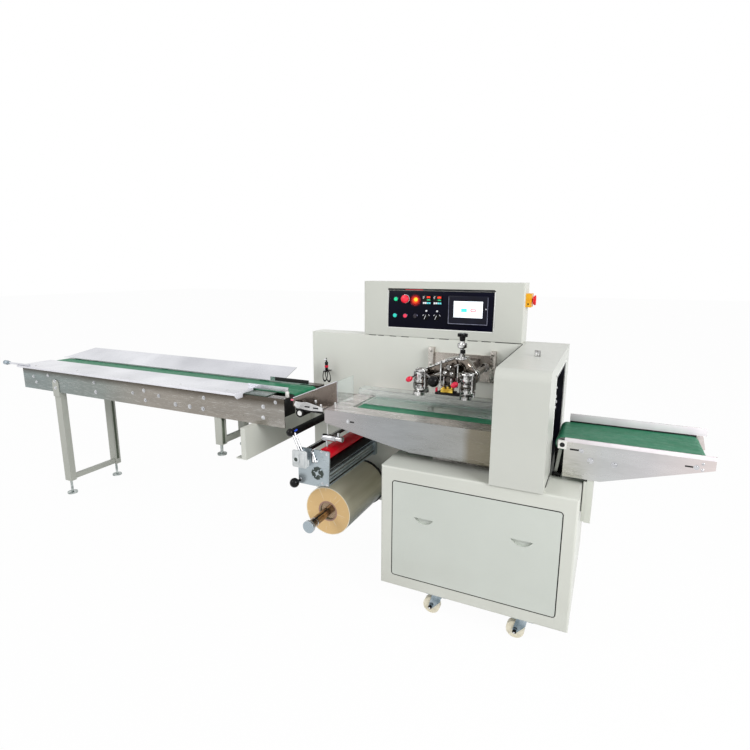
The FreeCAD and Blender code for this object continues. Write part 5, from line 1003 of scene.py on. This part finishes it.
# Film shaft
# A bronzed steel expanding shaft with a black key slot, a capped end, and hubs inside the card core;
# a black disc stops the roll at the back, beside a black bearing on the housing.
CAP_BACK, DISC_FACE = corner[1] - 0.0335, 0.178
made, wire = start_material("film_shaft_finish")
depth, = wire.axes("Y")
behind_disc = depth > DISC_FACE
streak = wire.noise(30.0, 3.0, 0.6, stretch=(12.0, 1.0, 12.0)).ramp(0.35, 0.65)
bronze = streak.mixed((104, 84, 66), (184, 162, 138))
bronze = (depth < CAP_BACK).mixed(bronze, streak.mixed((150, 164, 172), (186, 196, 202)))
finish(made, {
    "Base Color": behind_disc.mixed(bronze, (22, 22, 26)),
    "Metallic": 1.0 - behind_disc,
    "Roughness": wire.noise(24.0, 3.0).ramp(0.3, 0.7) * 0.14 + 0.16})
dress(made, "film_shaft")
dress(black_plastic, "shaft_bearing")
build("shaft_cap",
      metal("cap_metal", (150, 164, 172), (190, 200, 206), 0.2, 0.34, (8.0, 8.0, 8.0), 14.0, 0.2, 0.6),
      [(turned, (ROLL_X, -21, ROLL_Z), OUTWARD, [(0, 22), (0, 30.6), (12, 30.6), (13.7, 29), (13.7, 0)])],
      "film_roll")
build("shaft_rings", chrome,
      [(turned, (ROLL_X, -30.4, ROLL_Z), OUTWARD,
        [(0, 28), (0, 31), (3.5, 31), (4.4, 29), (4.4, 26), (3.4, 25.5)]),
       (turned, (ROLL_X, -18, ROLL_Z), OUTWARD, [(0, 23), (3, 29), (6, 30.8), (8, 30.8)]),
       (turned, (ROLL_X, 20, ROLL_Z), OUTWARD, [(-3, 22), (-3, 23.2), (3, 23.2), (3, 22)])],
      "film_roll")
build("shaft_slot", black_plastic,
      [(block, (ROLL_X + 4, -6, ROLL_Z + 20.4), (ROLL_X + 13, 138, ROLL_Z + 22.6), 0.8)],
      "film_roll")

# Roller end, studs and slotted arms at the film guide
# The nose roller's white bush shows on its hanger. Domed nuts on studs hold the guide's slotted arms.
NOSE_END = (-480, 103, 827)
build("nose_bush", moulded("bush_white", (222, 222, 220), (238, 238, 236), 0.3, 30.0), [
    (turned, NOSE_END, OUTWARD, [(0, 13.2), (5.6, 13.2), (6.6, 12), (6.8, 0)])])
# Beside the bore ring and the arms' slots, the long black strip under the guide arms is a painted shadow
# below the shelf.
build("nose_bore_and_shadow", black_plastic,
      [(turned, NOSE_END, OUTWARD, [(0, 13.2), (0, 21), (6, 21), (8, 19.5), (8, 15), (7, 13.4)]),
       (block, (-452, 98.5, 860), (-424, 100.2, 867), 0.6),
       (block, (-404, 98.5, 858), (-376, 100.2, 865), 0.6),
       (block, (-506, 102, 838), (-352, 104, 848), 0.5)])
arm_metal = metal("arm_metal", (170, 170, 170), (228, 228, 228), 0.14, 0.26, (6.0, 30.0, 6.0), 18.0, 0.3)
build("guide_arms", arm_metal,
      [(prism,
        [(-514, 864), (-506, 884), (-470, 882), (-440, 886), (-408, 880), (-352, 868), (-350, 850),
         (-420, 846), (-498, 850)], "Y", 99.5, 103.0, 1.0),
       (prism, [(-506, 104), (-350, 104), (-346, 150), (-400, 140)], "Z", 862, 865, 1.0),
       (acorn, (-409, 132, 862), UPWARD, 7.0, 20.0), (acorn, (-299, 130, 862), UPWARD, 6.5, 22.0),
       (acorn, (-372, 118, 865), UPWARD, 6.0, 4.0), (acorn, (-462, 114, 865), UPWARD, 5.0, 4.0)])
build("guide_edge", wing_steel, [
    (rod, (-520, 104, 898), (-345, 230, 972), 2.2),
    (rod, (-345, 230, 972), (-345, 230, 864), 1.8)])
build("guide_tip", moulded("tip_rose", (230, 90, 120), (244, 150, 170), 0.3, 30.0), [
    (block, (-532, 100, 884), (-518, 106, 892), 1.5)])

# Slot and bolt in the trough's front panel
# The panel hangs from a slotted hole so that its height can be set.
slot_black = moulded("slot_black", (12, 12, 12), (22, 22, 22), 0.6, 30.0)
build("panel_slot", slot_black, [(block, (-208, 99.4, 815), (-184, 100.4, 822), 0.4)])
build("panel_bolt", chrome, [(bolt, (-216, 100, 818.5), OUTWARD, 6.0, 4.0)])

# Outfeed conveyor's fittings
# Slots with bolts set the side plates; a cast bearing block takes the roller's axle. A leaning
# sheet and a black guard close the gap between the housing and the belt.
PLATE = 159.0
build("outfeed_slots", slot_black, [
    (block, (748, PLATE - 0.6, 813), (782, PLATE + 0.4, 820), 0.4),
    (block, (1141, PLATE - 0.6, 811), (1167, PLATE + 0.4, 817), 0.4),
    (turned, (719, PLATE - 12, 834), OUTWARD, [(-0.5, 9.5), (0.6, 9.5), (0.8, 0)])])
build("outfeed_bolts", chrome,
      [(bolt, (x, PLATE, z), OUTWARD, radius, 5.0)
       for x, z, radius in ((790, 816, 6.5), (1177, 814, 6.5), (826, 781, 8.5), (911, 778, 8.5),
                            (1196, 830, 3.5), (1196, 806, 3.5))]
      + [(bolt, (x, PLATE, 854), OUTWARD, 2.2, 1.2) for x in (860, 990, 1120)])
bearing_white = moulded("bearing_white", (226, 225, 220), (240, 239, 235), 0.35, 30.0)
dress(bearing_white, "outfeed_bearings")
build("outfeed_guard", black_plastic, [
    (block, (686, 246, 679), (722, 252, 806), 1.0),
    (block, (684, 196, 679), (718, 214, 694), 2.0),
    (block, (688, 214, 794), (712, 248, 806), 2.0)])
build("outfeed_fence", moulded("film_pearl", (232, 224, 230), (244, 240, 242), 0.3, 14.0), [
    (block, (727, 399.2, 866.5), (1235, 400.2, 897.5), 0.2),
    (block, (726, PLATE - 3.2, 846), (1236, PLATE - 0.2, 861.8), 0.8)])
build("outfeed_gap", slot_black, [(block, (728, 397.2, 858), (1200, 399.9, 866.2), 0.3)])
build("bracket_cover", paint, [(block, (808.6, 162.6, 519), (828, 166, 690), 0.5)])
build("outfeed_lean", paint,
      [(prism, [(690, 692), (703, 692), (716, 792), (702, 792)], "Y", 216.0, 220.0, 1.0)])

# End seal housing's fittings
# A turned chrome sleeve covers the peg on its nose, and a folded rim lines its right opening. The
# rim's paint is whiter than the housing's: a painted highlight on the opening's edges.
# Bearing nuts on the jaw shafts show in the dark behind it.
build("peg_sleeve", polished,
      [(turned, (578, 338, 1147), UPWARD,
        [(0, 15), (3, 15), (4, 12.6), (28, 12.6), (29.8, 11), (29.8, 0)])])
RIM_LEFT, RIM_RIGHT, RIM_TOP = 673, 677, 1101
build("opening_rim", painted("rim_highlight_paint", (236, 237, 234), 8), [
    (block, (RIM_LEFT, 189, 690), (RIM_RIGHT, 195.5, RIM_TOP), 0.8),
    (block, (RIM_LEFT, 619.5, 690), (RIM_RIGHT, 626, RIM_TOP), 0.8),
    (block, (RIM_LEFT, 189, 1094.5), (RIM_RIGHT, 626, RIM_TOP), 0.8)])
JAW_CUP = [(0, 0), (0, 20), (8, 20), (12, 15), (12, 8), (9, 0)]
JAW_NUTS = ((212, 1012, 7.0), (236, 985, 7.0), (222, 1046, 5.0), (208, 968, 6.0))
build("jaw_nuts", chrome, [(bolt, (672, y, z), (1, 0, 0), radius, 5.0) for y, z, radius in JAW_NUTS] + [
    (rod, (671, 216, 998), (671, 226, 1030), 3.0),
    (rod, (671, 206, 890), (671, 230, 904), 2.5),
    (rod, (671, 236, 900), (671, 250, 884), 2.5),
    (turned, (660, 232, 944), (1, 0, 0), JAW_CUP),
    (turned, (660, 232, 826), (1, 0, 0), JAW_CUP),
    (rod, (664, 210, 790), (664, 240, 850), 4.0)])

# Seams
# Black strips are painted shadow in the joint between the control box and the back housing, in the
# gap round the door, along the end seal housing's top left edge, and where it stands on the cabinet.
joint_shadow_black = moulded("joint_shadow_black", (24, 24, 24), (52, 52, 50), 0.7, 30.0, gleam=0.1)
build("joint_shadow_lines", joint_shadow_black,
      [(block, (left, 648.2, 1153.6), (right, 649.4, 1156.2), 0.3)
       for left, right in ((-372, -330), (-316, -282), (-247, -208), (-178, -135), (-29, 11), (37, 90),
                           (190, 242), (262, 309), (330, 464))]
      + [(block, (674.6, 60, 679.2), (677, 186, 685), 0.4),
         (prism, [(648, 1142), (648, 1153.2), (60, 1146.6), (60, 1136)], "X", 463.8, 469.6, 0.8)])
DOOR_LEFT, DOOR_RIGHT, DOOR_BOTTOM, DOOR_TOP = 53.0, 754.0, 168.0, 619.0
DOOR_ROUND, DOOR_LINE = 13.0, 3.2


def flat_sides(bm):
    return [face for face in bm.faces if len(face.verts) > 8]


bm = bmesh.new()
corners = [(DOOR_LEFT, DOOR_BOTTOM), (DOOR_RIGHT, DOOR_BOTTOM), (DOOR_RIGHT, DOOR_TOP), (DOOR_LEFT, DOOR_TOP)]
prism(bm, corners, "Y", -0.3, 0.6)
upright = [edge for edge in bm.edges if abs(edge.verts[0].co.y - edge.verts[1].co.y) > 0.5]
bmesh.ops.bevel(bm, geom=upright, offset=DOOR_ROUND, segments=8, profile=0.5, affect="EDGES", material=-1)
bmesh.ops.inset_region(bm, faces=flat_sides(bm), thickness=DOOR_LINE, depth=0.0)
bmesh.ops.delete(bm, geom=flat_sides(bm), context="FACES_ONLY")
bmesh.ops.bridge_loops(bm, edges=[edge for edge in bm.edges if edge.is_boundary])
piece("door_gap_shadow", bm, joint_shadow_black)

# Infeed's fasteners
# Domed screws hold the bearings, the bed and the drive to the near side plate, and the wings to
# their lugs. The long leg's tab takes two bolts, and a white block guides the belt's nose.
build("infeed_bolts", chrome,
      [(bolt, (x, 150, z), OUTWARD, radius, 4.0)
       for x, z, radius in ((-2637, 802, 7), (-2482, 823, 7), (-2612, 766, 7), (-2034, 818, 7),
                            (-2025, 758, 9), (-1696, 788, 7), (-1600, 812, 8), (-1594, 754, 8),
                            (-1482, 793, 8), (-1355, 757, 9), (-1247, 757, 9), (-1150, 755, 9),
                            (-1140, 819, 8), (-738, 816, 8), (-741, 757, 8), (-660, 848, 7))]
      + [(bolt, (-2412, 146, z), OUTWARD, 8.0, 5.0) for z in (791, 746)])
SCREW_DOME = [(0, 5), (1.2, 4.6), (2.2, 2.6), (2.5, 0)]
WING_TOP = 886
WING_ROWS = ((128, (-2560, -2150, -1690, -1280, -950)), (447, (-2500, -2100, -1650, -1200, -900)))
build("wing_screws", arm_metal,
      [(turned, (x, y, WING_TOP), UPWARD, SCREW_DOME, 16) for y, row in WING_ROWS for x in row])
build("guide_rod_sleeves", zinc,
      [(turned, (-2834, 94, 892), (1, 0, 0),
        [(0, 0), (0, 12), (2, 15), (26, 15), (30, 11), (52, 10), (54, 7)])])
build("nose_guide", bearing_white, [(block, (-624, 186, 869), (-608, 200, 899), 2.0)])

# Infeed wing's nose and the dark gaps beside it
# A white coated strip edges the front wing, and its end is folded down round the belt's nose. Thin
# black sheets under the far rail and at the conveyor's end are painted shade in those gaps.
build("rail_shade", slot_black, [(block, (-868, 433.6, 886.5), (-641, 434.6, 908.4), 0.3)])
build("nose_shade", slot_black, [(block, (-606.8, 152, 776), (-604.8, 243, 866), 0.4)])
build("wing_nose", moulded("film_white", (226, 226, 234), (238, 238, 244), 0.3, 14.0), [
    (prism, [(84, WING_TOP), (84, 874), (102, 853), (148, 853), (149.5, 871), (236, 871), (236, WING_TOP)],
     "X", -869.8, -866.0, 0.5),
    (block, (-2690, 83.2, 873.5), (-868, 84.2, 886.4), 0.3)])

# Infeed legs and levelling feet
# Each leg is a folded steel channel, open to the left and powder coated, with a cross bar welded
# between the two. Its foot is a zinc plated disc on a screw. Dark green-grey strips over the
# channels' open sides are painted shade inside them.


def legs_finish(name, split):
    """Powder coat above a height, and dark zinc plate on the feet and their screws below it."""
    made, wire = start_material(name)
    low = wire.axes("Z")[0] < split
    body = wire.noise(1.7, 3.0).ramp(0.35, 0.7).mixed((184, 186, 178), (172, 174, 166))
    plated = wire.noise(40.0, 3.0).ramp(0.35, 0.65).mixed((128, 136, 134), (196, 202, 200))
    return finish(made, {
        "Base Color": low.mixed(body, plated),
        "Metallic": low,
        "Roughness": wire.noise(34.0, 3.0).ramp(0.3, 0.7) * 0.1 + 0.32,
        "Normal": wire.bump(wire.noise(520.0, 1.5), 0.12, 0.0004)})


dress(legs_finish("long_leg_finish", 0.0945), "infeed_legs")
dress(legs_finish("short_leg_finish", 0.5595), "infeed_short_legs")
build("leg_channel_shade", moulded("channel_shade_green", (74, 82, 70), (98, 106, 92), 0.5, 12.0, gleam=0.2), [
    (block, (-2382.4, 514, 132), (-2381.4, 531, 715), 0.3),
    (block, (-1030.4, 160, 566), (-1029.4, 178, 716), 0.3)])

# Film mark sensor
# A small black sensor with a red end stands on its bracket at the left of the back housing. Two
# fixed eyes of bent black rod hang from its foot.


def eye(bm, centre, half_width, half_height, radius, lean):
    """A closed upright eye of round rod: a circle of points, spun to a ring and stretched."""
    ring = bmesh.ops.create_circle(bm, segments=10, radius=radius)["verts"]
    bmesh.ops.translate(bm, vec=(half_width, 0, 0), verts=ring)
    edges = list({edge for vert in ring for edge in vert.link_edges})
    bmesh.ops.spin(bm, geom=ring + edges, cent=(0, 0, 0), axis=(0, 1, 0), dvec=(0, 0, 0), angle=math.tau,
                   steps=40, use_merge=True)
    verts = [vert for vert in bm.verts if vert.is_valid and vert.co.length < half_width + 3 * radius]
    bmesh.ops.scale(bm, vec=(1, 1, half_height / half_width), verts=verts)
    bmesh.ops.rotate(bm, matrix=Matrix.Rotation(math.radians(lean), 3, "Y"), verts=verts)
    bmesh.ops.translate(bm, vec=centre, verts=verts)


build("sensor_plate", black_plastic,
      [(block, (-640, 589, 930), (-616, 649, 934), 1.0), (block, (-627, 588, 933), (-613, 604, 990), 2.5),
       (rod, (-620, 596, 989), (-620, 596, 1012), 5.0, 1.0, 16, 3.0)],
      stands_for=["sensor_bracket"])
build("sensor_red", ball_red, [(block, (-628, 587, 956), (-612, 605, 970), 2.0)])
build("sensor_loops", black_plastic,
      [(eye, (-640 + shift, 600 - lift, 908), 15.0, 34.0, 2.4, lean)
       for shift, lift, lean in ((8, 0, 8), (28, 4, -14))])
build("sensor_clamp", chrome,
      [(rod, (-627, 586, 1004), (-612, 586, 1004), 4.0), (bolt, (-628, 588, 940), OUTWARD, 4.0, 3.0)])
